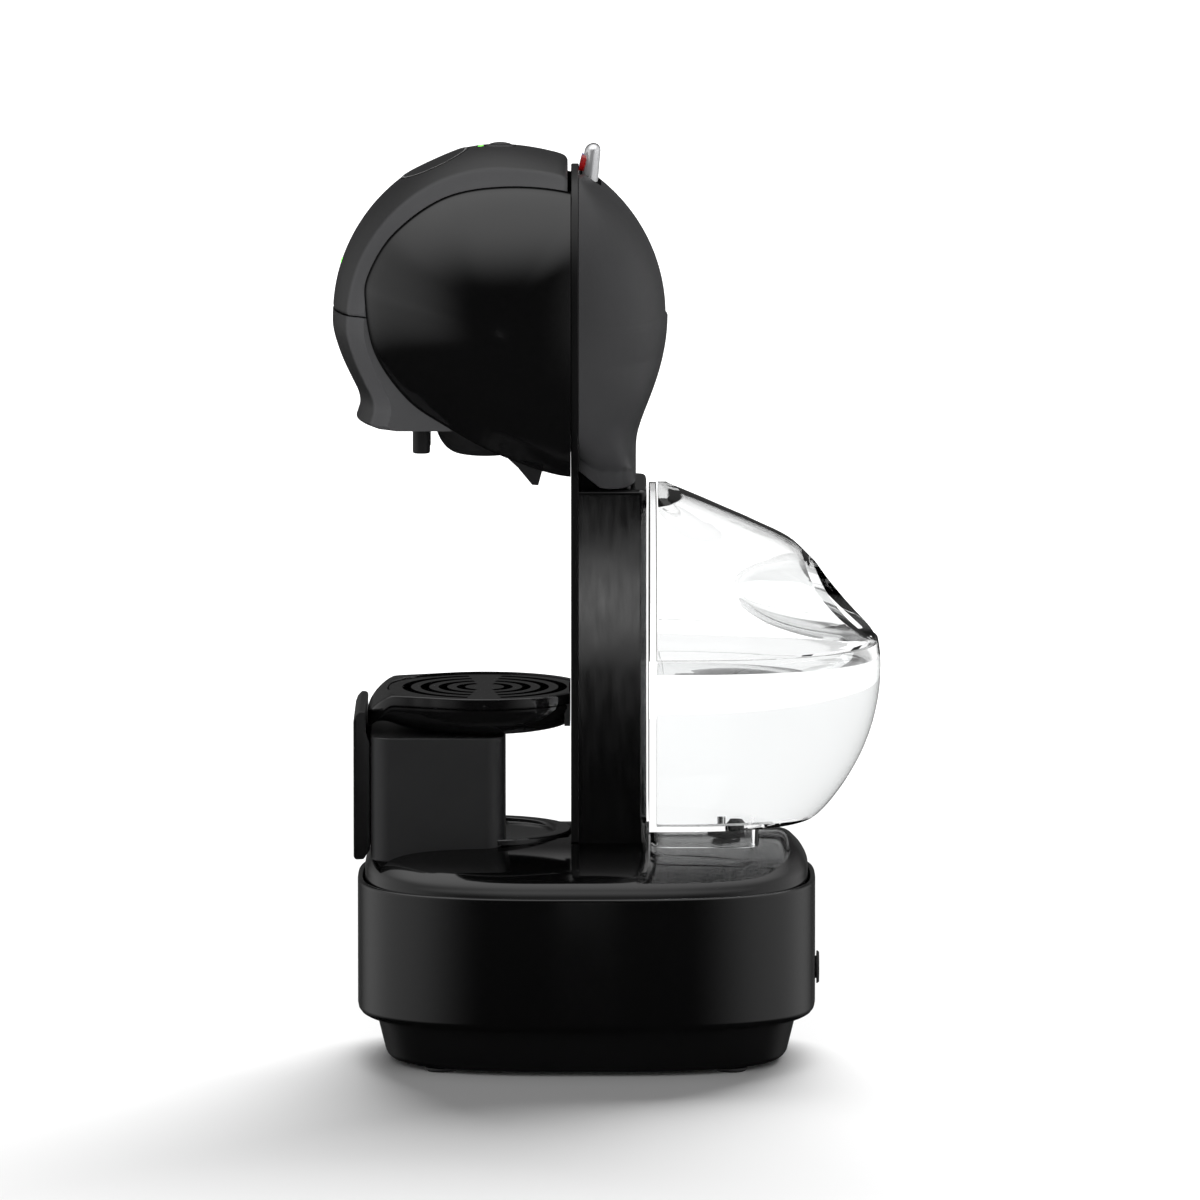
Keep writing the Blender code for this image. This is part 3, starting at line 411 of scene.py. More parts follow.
def newPiece(name, bm, finish, sharp=38.0):
    bmesh.ops.recalc_face_normals(bm, faces=bm.faces)
    bmesh.ops.scale(bm, vec=(mm, mm, mm), verts=bm.verts)
    mesh = bpy.data.meshes.new(name)
    bm.to_mesh(mesh)
    bm.free()
    mesh.materials.append(finish)
    mesh.shade_smooth()
    mesh.set_sharp_from_angle(angle=math.radians(sharp))
    piece = bpy.data.objects.new(name, mesh)
    bpy.context.scene.collection.objects.link(piece)
    return piece


# cuts the shapes out of the piece, or joins them to it, for good
def carve(piece, cutters, operation="DIFFERENCE", sharp=38.0):
    helpers = [newPiece("helper", bm, piece.data.materials[0]) for bm in cutters]
    for helper in helpers:
        step = piece.modifiers.new("carve", "BOOLEAN")
        step.operation = operation
        step.solver = "EXACT"
        step.object = helper
    bpy.context.view_layer.update()
    result = bpy.data.meshes.new_from_object(piece.evaluated_get(bpy.context.evaluated_depsgraph_get()))
    piece.modifiers.clear()
    piece.data = result
    mended = bmesh.new()
    mended.from_mesh(result)
    bmesh.ops.remove_doubles(mended, verts=mended.verts, dist=0.001 * mm)
    bmesh.ops.dissolve_degenerate(mended, edges=mended.edges, dist=0.001 * mm)
    bmesh.ops.holes_fill(mended, edges=[edge for edge in mended.edges if edge.is_boundary], sides=0)
    loose = [edge for edge in mended.edges if not edge.link_faces]
    bmesh.ops.delete(mended, geom=loose, context="EDGES")
    mended.to_mesh(result)
    mended.free()
    result.shade_smooth()
    result.set_sharp_from_angle(angle=math.radians(sharp))
    for helper in helpers:
        bpy.data.objects.remove(helper)
    return piece


# keeps large flat faces flat beside their rounded edges
def evenShading(piece):
    step = piece.modifiers.new("evenShading", "WEIGHTED_NORMAL")
    step.keep_sharp = True
    step.weight = 60


# the piece rides with the nodes' body and hides them
def standFor(piece, *nodes):
    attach(piece, bodyOf[nodes[0]])
    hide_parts(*nodes)
    evenShading(piece)
    return piece


def boxMm(node):
    low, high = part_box(node)
    return [value / mm for value in low], [value / mm for value in high]


def superellipse(midY, length, width, z, power=3.0, count=160):
    ring = []
    for k in range(count):
        angle = fullTurn * (k + 0.5) / count
        x, y = math.sin(angle), math.cos(angle)
        ring.append((math.copysign(abs(x) ** (2 / power), x) * width,
                     midY + math.copysign(abs(y) ** (2 / power), y) * length, z))
    return ring


# base

base = {"glandHole": 5.4, "glandHeight": 38, "seatGap": 0.4, "deckSkirt": 19.6}
# the deck from its edge to the middle: half length, half width and height
deckRise = ((97.0, 75.6, 79.6), (96.9, 74.4, 82.2), (96.5, 71.5, 86), (94, 63, 91), (91, 49, 94.8),
            (88.5, 33, 97.4), (85, 17, 98.8), (80, 6, 99.0))


def makeBase():
    low, high = boxMm("base_band")
    midY, length, width = (low[1] + high[1]) / 2, (high[1] - low[1]) / 2, high[0]
    bandSteps = [(-3.4, -3.4, low[2]), (-2.2, -2.2, low[2] + 0.25), (-1.1, -1.1, low[2] + 0.9),
                 (-0.3, -0.3, low[2] + 2.0), (0, 0, low[2] + 3.6), (0, 0, high[2] - 1.4),
                 (-0.15, -0.15, high[2] - 0.7), (-0.5, -0.5, high[2] - 0.2), (-1.0, -1.0, high[2]),
                 (-1.9, -1.9, high[2]), (-2.4, -2.4, high[2] - 0.4), (-2.6, -2.6, high[2] - 1.0),
                 (-2.6, -2.6, low[2] + 6), (-7.0, -6.5, low[2] + 5.8), (-7.0, -6.5, low[2])]
    rings = [superellipse(midY, length + a, width + b, z) for a, b, z in bandSteps]
    bm = loft(rings + rings[:1])
    bmesh.ops.remove_doubles(bm, verts=bm.verts, dist=1e-4)
    inner = [face for face in bm.faces if len(face.verts) > 8]
    bmesh.ops.delete(bm, geom=inner, context="FACES_ONLY")
    band = standFor(newPiece("baseBand", bm, finishes["gloss_black"]), "base_band")
    hole = [(0, -12), (base["glandHole"], -12), (base["glandHole"], 12), (0, 12)]
    carve(band, [turned(hole, (0, high[1], base["glandHeight"]), "Y", steps=48)])

    panLow, panHigh = boxMm("base_pan")
    panY, panLength, panWidth = (panLow[1] + panHigh[1]) / 2, (panHigh[1] - panLow[1]) / 2, panHigh[0]
    panSteps = [(-7.2, panLow[2]), (-6.2, panLow[2] + 0.25), (-5.4, panLow[2] + 0.9), (-4.6, panLow[2] + 2.2),
                (-1.2, 18.0), (-0.5, 20.0), (0, 22.0), (0, panHigh[2] - 2)]
    rings = [superellipse(panY, panLength + a, panWidth + a, z) for a, z in panSteps]
    standFor(newPiece("basePan", loft(rings), footFinish), "base_pan")

    deckLow, deckHigh = boxMm("base_deck")
    deckY, deckLength, deckWidth = (deckLow[1] + deckHigh[1]) / 2, (deckHigh[1] - deckLow[1]) / 2, deckHigh[0]
    top = deckHigh[2]
    rings = [superellipse(deckY, deckLength, deckWidth, z) for z in (deckLow[2], top - base["deckSkirt"])]
    rings += [superellipse(deckY, length, width, z) for length, width, z in flowing(deckRise, 7)]
    deck = standFor(newPiece("baseDeck", loft(rings), finishes["gloss_black"], 60), "base_deck")
    ringLow, ringHigh = boxMm("cup_seat_ring")
    seatY = (ringLow[1] + ringHigh[1]) / 2
    outer = ringHigh[0]
    edge = outer + base["seatGap"]
    seat = [(0, top - 1.6), (edge, top - 1.6), (edge, 120), (0, 120)]
    carve(deck, [turned(seat, (0, seatY, 0), steps=128)], sharp=50)
    ringShape = [(0, top - 1.5), (outer, top - 1.5), (outer, top + 0.5), (outer - 0.35, top + 0.9),
                 (outer - 1.0, top + 1.0), (outer - 5.6, top + 1.0), (outer - 6.6, top + 0.6),
                 (outer - 7.2, top - 0.4), (outer - 8.0, top - 1.0), (0, top - 1.0)]
    ring = newPiece("cupSeatRing", turned(ringShape, (0, seatY, 0), steps=128), finishes["grey_ring"])
    standFor(ring, "cup_seat_ring")
    print("base made")


# spine, column and rear shell

head = {"midY": -47.0, "midZ": 326.0, "halfWidth": 69.0, "outside": 75.0, "seam": 44.0, "columnHalf": 31.0,
        "ballRadius": 72.5, "neckDepth": 24.9}
spine = {"frontGrow": 0.32, "backGrow": 0.24, "sideGrow": 0.4, "top": 390.6, "columnCorner": 3.0}


def headHalfWidth(z):
    height = 65 if z > head["midZ"] else 70
    ball = head["halfWidth"] * max(0.0, 1 - abs((z - head["midZ"]) / height) ** 2.5) ** 0.4
    if z > head["midZ"]:
        return ball
    return (head["columnHalf"] ** 6 + ball ** 6) ** (1 / 6)


def shellDepth(z, front):
    reach = math.sqrt(max(0.0, head["ballRadius"] ** 2 - (z - head["midZ"]) ** 2))
    ball = max(0.0, reach + head["midY"] - front)
    return ball if z > head["midZ"] else (head["neckDepth"] ** 5 + ball ** 5) ** 0.2


def makeSpine():
    low, high = boxMm("spine_plate")
    front, rear = low[1] - spine["frontGrow"], high[1] + spine["backGrow"]
    levels = [low[2]] + [mix(240, 388.5, (k / 60) ** 0.9) for k in range(61)]
    sides = [(headHalfWidth(z) + spine["sideGrow"], z) for z in levels]
    top = [(x, spine["top"] - 0.006 * x * x * 0.35) for x in (16, 10, 4, -4, -10, -16)]
    outline = sides + top + [(-x, z) for x, z in reversed(sides)]
    plate = newPiece("spinePlate", softEdges(prism(outline, front, rear, "Y"), 0.55, 60), spineFinish)
    standFor(plate, "spine_plate")

    low, high = boxMm("column_cover")
    half, back, corner = high[0], high[1], spine["columnCorner"]
    outline = [(-half, low[1]), (half, low[1])]
    outline += arc((half - corner, back - corner), corner, 0, 90, 16)
    outline += arc((-half + corner, back - corner), corner, 90, 180, 16)
    rings = []
    for grow, z in ((0, low[2] - 2), (0, high[2] - 2.2), (-0.3, high[2] - 1.1), (-0.8, high[2] - 0.4),
                    (-1.7, high[2]), (-7.0, high[2]), (-7.2, high[2] + 8.0)):
        wide, crownShadeTone = 1 + grow / half, 1 + grow / (back - low[1])
        rings.append([(x * wide, mix(low[1], y, crownShadeTone), z) for x, y in outline])
    column = newPiece("columnCover", loft(rings), columnFinish)
    standFor(column, "column_cover")


def makeRearShell():
    low, high = boxMm("rear_shell")
    front, steps = low[1], 72
    rings = []
    for k in range(121):
        z = mix(low[2], high[2] + 0.6, 1 - (1 - k / 120) ** 1.35)
        inset = 0.0
        if k < 5:
            inset = 1.3 * (1 - math.sqrt(1 - ((5 - k) / 5) ** 2))
            z = low[2] + k * 0.26
        width, depth = headHalfWidth(z) - inset, shellDepth(z, front) - inset
        power = mix(0.32, 0.9, min(1.0, max(0.0, (z - 255) / 55)) ** 0.8)
        ring = []
        for n in range(steps + 1):
            angle = math.pi * n / steps
            x = math.copysign(abs(math.cos(angle)) ** power, math.cos(angle)) * width
            y = front + math.sin(angle) ** power * depth
            sweep = max(0.0, (front + 12.5 - y) / 12.5) ** 2 * 8.0 + max(0.0, (y - 4.5) / 8.0) ** 2 * 1.8
            ring.append((x, y, z + sweep * max(0.0, 1 - (z - low[2]) / 26)))
        rings.append(ring)
    shell = newPiece("rearShell", loft(rings), finishes["matte_black"], 45)
    notchLow, notchHigh = boxMm("lever_bezel")
    notch = rounded(notchLow[0] - 0.4, notchHigh[0] + 0.4, -30, notchHigh[1] + 1.8, 2.6)
    carve(shell, [prism(notch, notchLow[2] - 0.2, 400)], sharp=45)
    standFor(shell, "rear_shell")
    print("spine, column and rear shell made")


# side panels

panelOutline = ((-104.1, 335.6), (-102.4, 348.5), (-91.5, 365.7), (-70.3, 380.7), (-45.0, 385.4),
                (-17.0, 383.2), (8, 374), (25, 345), (25, 305), (8, 268), (-15.3, 260.5), (-45.9, 269.6),
                (-70.3, 282.7), (-86.5, 294.3), (-99.8, 313.5))


def makeSidePanels():
    outline = flowing(panelOutline, 10, closed=True)
    out, seam = head["outside"], head["seam"]
    first = math.acos(seam / out)
    for node, side in (("side_panel_left", -1), ("side_panel_right", 1)):
        high = boxMm(node)[1]
        steps = [(seam + 0.05, 1.0085), (seam + 0.12, 1.0115), (seam + 0.4, 1.0115), (seam + 0.46, 0.9985)]
        steps += [(out * math.cos(a), math.sin(a) / math.sin(first))
                  for a in (mix(first * 0.985, 0.012, (k / 44) ** 0.95) for k in range(45))]
        rings = [[(side * x, head["midY"] + (y - head["midY"]) * s, head["midZ"] + (z - head["midZ"]) * s)
                  for y, z in outline] for x, s in steps]
        bm = loft(rings)
        geometry = bm.verts[:] + bm.edges[:] + bm.faces[:]
        bmesh.ops.bisect_plane(bm, geom=geometry, plane_co=(0, high[1], 0), plane_no=(0, 1, 0),
                               clear_outer=True)
        rim = [edge for edge in bm.edges if edge.is_boundary]
        bmesh.ops.contextual_create(bm, geom=rim)
        bmesh.ops.recalc_face_normals(bm, faces=bm.faces)
        backEdges = [e for e in bm.edges if all(abs(v.co.y - high[1]) < 1e-3 for v in e.verts)
                     and len(e.link_faces) == 2 and e.calc_face_angle() > 0.5]
        bmesh.ops.bevel(bm, geom=backEdges, offset=0.5, offset_type="OFFSET", segments=3, profile=0.5,
                        affect="EDGES", material=-1, clamp_overlap=True)
        panel = newPiece("sidePanelLeft" if side < 0 else "sidePanelRight", bm, discFinish, 50)
        standFor(panel, node)
    print("side panels made")


# the hoop and what is on it

hoop = {"half": 43.7, "crease": 36.0, "creaseDrop": 6.9, "rimDrop": 14.2}
button = {"radius": 6.5, "gap": 0.45, "shoulder": 398.4, "crown": 2.6, "underside": 391.3}
badge = {"lean": 23, "reach": 73.3, "halfWidth": 20, "halfLength": 16}


def crownRadius(turn):
    back = max(0.0, -turn - 5) / 19
    return 72.4 + 1.4 * math.cos(math.radians(turn)) ** 4 + 1.6 * back * back


# half of the hoop's outside: a crown, a crisp crease and a flank that is slightly hollow
def crownLine(points=22):
    line = [(hoop["crease"] * k / points, hoop["creaseDrop"] * (k / points) ** 2) for k in range(points + 1)]
    for k in range(1, 9):
        share = k / 8
        x = mix(hoop["crease"], hoop["half"] - 0.1, share)
        line.append((x, mix(hoop["creaseDrop"], hoop["rimDrop"], share) + 0.45 * math.sin(math.pi * share)))
    line[points] = (hoop["crease"] - 0.1, hoop["creaseDrop"] + 0.05)
    return line + [(hoop["half"], hoop["rimDrop"] + 0.5)]


def hoopPlace(turn, drop):
    reach = crownRadius(turn) - drop * (1 - 0.2 * max(0.0, -turn - 5) / 19)
    angle = math.radians(turn)
    return head["midY"] - reach * math.sin(angle), head["midZ"] + reach * math.cos(angle)


# the turn between two at which the hoop's point reaches the wanted place
def turnWhere(wanted, drop, low, high):
    for _ in range(40):
        middle = (low + high) / 2
        if wanted(*hoopPlace(middle, drop)):
            low = middle
        else:
            high = middle
    return low


def hoopPoint(x, drop, share, backY, frontZ):
    start = turnWhere(lambda y, z: y > backY, drop, -40, 20)
    end = turnWhere(lambda y, z: z > frontZ, drop, 40, 120)
    y, z = hoopPlace(mix(start, end, share), drop)
    return x, y, z


def makeHoop():
    low, high = boxMm("locking_handle")
    backY, frontZ = high[1], low[2]
    half = crownLine()
    inside = [(0, 3.0), (12, 3.8), (24, 6.1), (34, 10.0), (hoop["half"] - 0.8, 17.2), (hoop["half"], 16.8)]
    outer = [(-x, d) for x, d in reversed(half)] + half[1:]
    inner = list(reversed(inside)) + [(-x, d) for x, d in inside[1:]]
    rings = []
    shares = [0, 0.006, 0.014, 0.026] + [mix(0.04, 0.99, k / 70) for k in range(71)] + [0.996, 1]
    for share in shares:
        roundOff = 2.0 * (1 - math.sqrt(max(0.0, 1 - (1 - min(share, 0.026) / 0.026) ** 2)))
        endOff = 0.5 * max(0.0, (share - 0.99) / 0.01) ** 2
        rings.append([hoopPoint(x, d + roundOff + endOff, share, backY, frontZ) for x, d in outer]
                     + [hoopPoint(x, d + 0.05, share, backY, frontZ) for x, d in inner])
    piece = newPiece("lockingHoop", loft(rings), crownFinish, 30)
    lug = arc((-24.0, 389.5), 2.7, 180, 360, 12) + [(-21.3, 392.6), (-26.7, 394.5)]
    joined = [prism(lug, 7.0, 9.6, "X"), prism(lug, -9.6, -7.0, "X")]
    buttonLow, buttonHigh = boxMm("power_button")
    buttonY = (buttonLow[1] + buttonHigh[1]) / 2
    joined.append(turned([(0, 386.8), (9.0, 386.8), (9.0, 397.2), (0, 397.2)], (0, buttonY, 0), steps=64))
    carve(piece, joined, "UNION", 30)
    well = button["radius"] + button["gap"]
    wellShape = [(0, 389.2), (well, 389.2), (well, 399.0), (7.6, 400.4), (7.6, 410), (0, 410)]
    cuts = [turned(wellShape, (0, buttonY, 0), steps=96)]
    for node, radius in (("power_light", 1.7), ("front_light", 2.0)):
        middle, lean = nodeMiddle(node)
        cuts.append(turned([(0, -4), (radius, -4), (radius, 8), (0, 8)], middle, steps=32, lean=lean))
    cuts.append(badgeSlab(-1.2, 5.0, 0.3))
    carve(piece, cuts, sharp=30)
    standFor(piece, "locking_handle")

    radius, shoulder, crown = button["radius"], button["shoulder"], button["crown"]
    dome = [(0, button["underside"]), (radius, button["underside"]), (radius, shoulder)]
    for k in range(1, 14):
        angle = k * fullTurn / 4 / 14
        dome.append((radius * math.cos(angle), shoulder + crown * math.sin(angle)))
    dome.append((0, 401.0))
    cap = newPiece("powerButton", turned(dome, (0, buttonY, 0), steps=96), finishes["matte_black"], 50)
    groove = [(4.3, 400.0), (4.9, 400.0), (4.9, 404), (4.3, 404)]
    springRoom = [(0, 385), (4.9, 385), (4.9, 393.2), (0, 393.2)]
    carve(cap, [turned(groove, (0, buttonY, 0), closed=True),
                turned(springRoom, (0, buttonY, 0), steps=64)], sharp=50)
    standFor(cap, "power_button")
    for node, radius, name in (("power_light", 1.5, "powerLight"), ("front_light", 1.8, "frontLight")):
        middle, lean = nodeMiddle(node)
        brim = 1.2 if radius < 1.6 else 1.6
        lens = [(0, -1.6), (radius, -1.6), (radius, brim)]
        for k in range(1, 6):
            angle = k * fullTurn / 24
            lens.append((radius * math.cos(angle), brim + 0.75 * math.sin(angle)))
        lens += [(0, brim + 0.75)]
        standFor(newPiece(name, turned(lens, middle, steps=48, lean=lean), finishes["green_light"], 50), node)
    middle = tuple(value * mm for value in badgeMiddle())
    oval = badgeFinish(middle, math.radians(badge["lean"]), badge["halfWidth"] * mm, badge["halfLength"] * mm)
    standFor(newPiece("badgePlate", badgeSlab(-0.9, 0.22, 0), oval, 40), "badge")
    print("hoop, button, lights and badge made")


def nodeMiddle(node):
    low, high = boxMm(node)
    middle = [(a + b) / 2 for a, b in zip(low, high)]
    return middle, math.atan2(head["midY"] - middle[1], middle[2] - head["midZ"])


def badgeMiddle():
    lean = math.radians(badge["lean"])
    return 0, head["midY"] - badge["reach"] * math.sin(lean), head["midZ"] + badge["reach"] * math.cos(lean)


# an oval plate bent to the crown: rings of an oval, from the underside up and over
def badgeSlab(low, high, grow):
    lean = math.radians(badge["lean"])
    rings = []
    for lift, shrink in ((low, 0), (high - 0.25, 0), (high - 0.08, 0.08), (high, 0.3)):
        ring = []
        for k in range(96):
            a = fullTurn * k / 96
            x = (badge["halfWidth"] + grow - shrink) * math.sin(a)
            turn = lean + (badge["halfLength"] + grow - shrink) * math.cos(a) / badge["reach"]
            reach = crownRadius(math.degrees(turn)) - hoop["creaseDrop"] * (x / hoop["crease"]) ** 2 + lift
            ring.append((x, head["midY"] - reach * math.sin(turn), head["midZ"] + reach * math.cos(turn)))
        rings.append(ring)
    return loft(rings)


# pod holder

# each leg: middle, front, back, foot and corner radius
holder = {"legs": ((12, -84.6, -77, 266.5, 3.4), (-12, -84.6, -77, 266.5, 3.4), (0, -78.4, -72, 268.4, 2.8)),
          "drawerHalf": 36.2, "drawerLow": 300, "drawerHigh": 311.6, "cupBore": 24.9}
# the drawer's front seen from the side: height and how far forward it comes
lipCurve = ((279.5, -105.4), (280.6, -108.2), (281.8, -109.2), (284, -108.6), (288, -107.6), (293, -108.5),
            (299.5, -111.6), (309, -115.9), (320, -119.2), (328.7, -119.4))
# where the flanks end behind, at each height
wing = ((279.5, -67.0), (281.5, -69.0), (284, -72.0), (288, -76.5), (293, -83.0), (299.5, -90.5),
        (309, -96.0), (320, -99.5), (328.7, -102.0))


def makePodHolder():
    smoothLip = flowing(lipCurve, 6)
    half, inside = crownLine(), holder["drawerHalf"]
    rings = []
    for z, front in smoothLip:
        line = [(-x, front + d) for x, d in reversed(half)] + [(x, front + d) for x, d in half[1:]]
        back = readCurve(wing, z)
        backs = [(hoop["half"], back), (inside, back - 0.4), (inside, -86), (-inside, -86),
                 (-inside, back - 0.4), (-hoop["half"], back)]
        rings.append([(x, y, z) for x, y in line + backs])
    piece = newPiece("podHolder", softEdges(loft(rings), 0.5, 62), crownFinish, 30)
    drawer = prism(rounded(-inside, inside, -90, -23.4, 3), holder["drawerLow"], holder["drawerHigh"])
    joined = [softEdges(drawer, 0.4, 60)]
    for x, front, back, foot, corner in holder["legs"]:
        joined.append(softEdges(prism(rounded(x - 6, x + 6, front, back, corner), foot, 305), 0.8, 60))
    carve(piece, joined, "UNION", 30)
    low, high = boxMm("pod_cup")
    podY = (low[1] + high[1]) / 2
    bore = holder["cupBore"]
    cuts = [turned([(0, 250), (bore, 250), (bore, 330), (0, 330)], (0, podY, 0)),
            softEdges(prism(rounded(-26, 26, 268, 292, 6), -103, -88, "Y"), 0.6, 60)]
    carve(piece, cuts, sharp=30)
    standFor(piece, "pod_holder")

    rim = high[2]
    outside = flowing([(3.0, 264.4), (9, 264.5), (14.6, 265.9), (18.6, 269.4), (21.4, 275), (23.4, 283),
                       (24.3, 292), (24.4, 311.9)], 5)
    inside = flowing([(22.4, 313.4), (21.8, 290), (20.6, 282), (18.0, 275), (13.6, 270), (3.0, 268.2)], 5)
    profile = outside + [(27.0, 312.0), (27.4, 312.4), (27.4, rim - 0.5), (26.9, rim), (24.9, rim)] + inside
    cup = newPiece("podCup", turned(profile, (0, podY, 0), closed=True), finishes["inner_black"], 35)
    standFor(cup, "pod_cup")
    print("pod holder made")


# water lever

lever = {"foot": 383.9, "length": 16.7, "midY": -8.1, "lean": 2.2, "domeFrom": 397.4, "domeRadius": 3.25,
         "depths": (4.1, 3.3), "widths": (5.5, 5.0)}


def makeLever():
    rings = []
    for k in range(29):
        z = lever["foot"] + lever["length"] * k / 28
        dome = math.sqrt(max(0.02, 1 - max(0.0, (z - lever["domeFrom"]) / lever["domeRadius"]) ** 2))
        midY = lever["midY"] + lever["lean"] * ((z - lever["foot"]) / lever["length"])
        halfY, halfX = mix(*lever["depths"], k / 28) * dome, mix(*lever["widths"], k / 28) * dome
        rings.append([(halfX * math.cos(fullTurn * n / 48), midY + halfY * math.sin(fullTurn * n / 48), z)
                      for n in range(48)])
    grip = newPiece("leverGrip", loft(rings), finishes["chrome"], 60)
    standFor(grip, "lever_grip")
    low, high = boxMm("lever_bezel")
    bezel = softEdges(prism(rounded(low[0], high[0], low[1], high[1], 2.4), low[2], high[2]), 1.4, 60, 5)
    piece = newPiece("leverBezel", bezel, finishes["inner_black"], 50)
    carve(piece, [prism(rounded(-7.0, 7.0, -10.2, -5.2, 2.2), 370, 390)], sharp=50)
    standFor(piece, "lever_bezel")
    print("lever made")


# cup rest

rest = {"ringGap": 3.8, "ringPitch": 7.9, "firstRing": 8.5, "skin": 2.8, "midY": -53.5, "floor": 145.0,
        "gridRadius": 42.1}
# how much of the apron's fall each height takes
apronFall = ((145, 0), (150, 0.45), (157.4, 1.36), (158.6, 1.36), (162.5, 1.0))
# how far the tray's rim reaches, in mm, at each angle from straight ahead
apronReach = ((0, 51), (12, 52), (22, 54), (28, 54.8), (34, 53.8), (42, 50.6), (50, 47.4), (60, 45.4),
              (70, 45), (180, 45))


def ringSlot(inner, start, sweep, midY):
    rings = []
    steps = max(16, round(sweep / 3))
    for k in range(steps + 1):
        angle = math.radians(start + sweep * k / steps)
        corners = ((inner, 150), (inner + rest["ringGap"], 150), (inner + rest["ringGap"], 170), (inner, 170))
        rings.append([(r * math.cos(angle), midY + r * math.sin(angle), z) for r, z in corners])
    return loft(rings)


def makeCupRest():
    low, high = boxMm("drip_stand")
    outline = rounded(low[0], high[0], low[1], high[1], 9, 14)
    block = softEdges(prism(outline, 90.4, high[2]), 0.6, 60)
    stand = newPiece("dripStand", block, finishes["satin_charcoal"])
    skin = rest["skin"]
    room = rounded(low[0] + skin, high[0] - skin, low[1] + skin, high[1] - skin, 6.5)
    carve(stand, [prism(room, 80, high[2] - 3)])
    standFor(stand, "drip_stand")

    low, high = boxMm("stand_front_plate")
    side = [(low[1], low[2] + 1.4), (low[1] + 1.0, low[2] + 0.2), (-106.0, low[2] + 0.4), (-103.1, 95),
            (-103.1, 142), (-104.9, 146.5), (-104.9, 152.0), (-104.8, 154.6), (-105.6, high[2] - 0.2),
            (-107.6, high[2]), (low[1] + 0.9, high[2] - 2.0), (low[1], high[2] - 4.6)]
    board = softEdges(prism(side, low[0], high[0], "X"), 0.7, 30)
    plate = newPiece("standFrontPlate", board, finishes["gloss_black"])
    standFor(plate, "stand_front_plate")

    low, high = boxMm("drip_tray")
    radius, midY, top = high[0], rest["midY"], high[2]
    under = flowing([(30, 145.1), (36.4, 146.8), (41.4, 150.6), (44.0, 155.0), (radius - 0.5, 157.4)], 6)
    profile = [(0, rest["floor"])] + under
    profile += [(radius - 0.9, 157.7), (radius - 0.1, 158.1), (radius, 158.6), (radius, top - 1.0),
                (radius - 0.3, top - 0.3), (radius - 1.0, top)]
    profile += [(radius - 1.0 - k * 0.75, top) for k in range(1, 16)] + [(0, top)]
    bowl = flowing([(26, 147.7), (33, 149.0), (39, 152.4), (42.6, 157.6)], 5)
    tray = newPiece("dripTray", turned(profile, (0, midY, 0), steps=160), finishes["gloss_black"], 40)
    for vert in tray.data.vertices:
        x, y, z = (value / mm for value in vert.co)
        reach = math.hypot(x, y - midY)
        aside = math.degrees(math.atan2(abs(x), midY - y))
        stretch = 1 + (readCurve(apronReach, aside) / 45 - 1) * min(1.0, max(0.0, (reach - 28) / 16)) ** 1.5
        x, y = x * stretch, midY + (y - midY) * stretch
        fall = 8.6 * max(0.0, (midY - y - 39.5) / 11.5) ** 1.5
        vert.co = (x * mm, y * mm, (z - fall * readCurve(apronFall, z)) * mm)
    bowlCut = [(0, 147.6)] + bowl + [(42.6, top - 0.4), (42.9, top + 0.1), (42.9, 170), (0, 170)]
    carve(tray, [turned(bowlCut, (0, midY, 0), steps=160)], sharp=40)
    carve(tray, [prism([(-60, high[1]), (60, high[1]), (60, 20), (-60, 20)], 130, 180)], sharp=40)
    reach = math.sqrt(43.6 ** 2 - (high[1] - 2.4 - midY) ** 2)
    near, far = high[1] - 2.6, high[1] - 0.05
    lip = prism([(-reach, near), (reach, near), (reach, far), (-reach, far)], 148.2, 157.9)
    carve(tray, [lip], "UNION", 40)
    standFor(tray, "drip_tray")

    low, high = boxMm("drip_grid")
    radius = rest["gridRadius"]
    plateShape = [(0, low[2]), (radius, low[2]), (radius, high[2] - 0.5), (radius - 0.4, high[2]),
                  (0, high[2])]
    grid = newPiece("dripGrid", turned(plateShape, (0, midY, 0), steps=160), finishes["gloss_black"], 40)
    cuts = []
    for ring in range(4):
        inner = rest["firstRing"] + ring * rest["ringPitch"]
        for half in range(2):
            cuts.append(ringSlot(inner, half * 180 + 9 + 12 / (ring + 1), 162 - 24 / (ring + 1), midY))
    cuts.append(prism([(-60, high[1]), (60, high[1]), (60, 20), (-60, 20)], 130, 180))
    carve(grid, cuts, sharp=40)
    standFor(grid, "drip_grid")
    print("cup rest made")


# tank

tank = {"front": 18.2, "flange": 3.3, "width": 74.0, "wall": 2.6, "lidLine": 183.5, "waterLine": 178.0,
        "pocket": (34, 44, 15.5), "pocketPlace": (0, 101, 200.5), "pocketTilt": -9}
# the back of the body, then of the lid: height and how far back it comes
tankBack = ((105.4, 88.0), (106.2, 90.4), (108, 92.9), (112, 96.8), (116, 100.0), (121, 103.6), (127, 107.3),
            (134, 111.0), (141, 113.9), (148, 116.2), (156, 118.0), (163, 119.0), (170, 119.4), (177, 119.3),
            (183.2, 118.4))
lidBack = ((183.8, 117.3), (185.2, 116.6), (187.1, 115.5), (193.2, 111.2), (199.7, 106.3), (206, 100.6),
           (211.9, 94.9), (218.2, 88.8), (224.2, 82.6), (227.6, 77.0), (230.6, 70.4), (234.2, 62.6),
           (237.5, 54.8), (240.8, 47.2), (243.6, 40.4), (246.4, 33.0), (248.6, 25.5))


def tankWidth(z):
    if z < tank["lidLine"]:
        return tank["width"] * (1 - 0.30 * ((tank["lidLine"] - z) / 78) ** 2.2)
    return tank["width"] * (1 - ((z - tank["lidLine"]) / 70) ** 2.4) ** 0.5


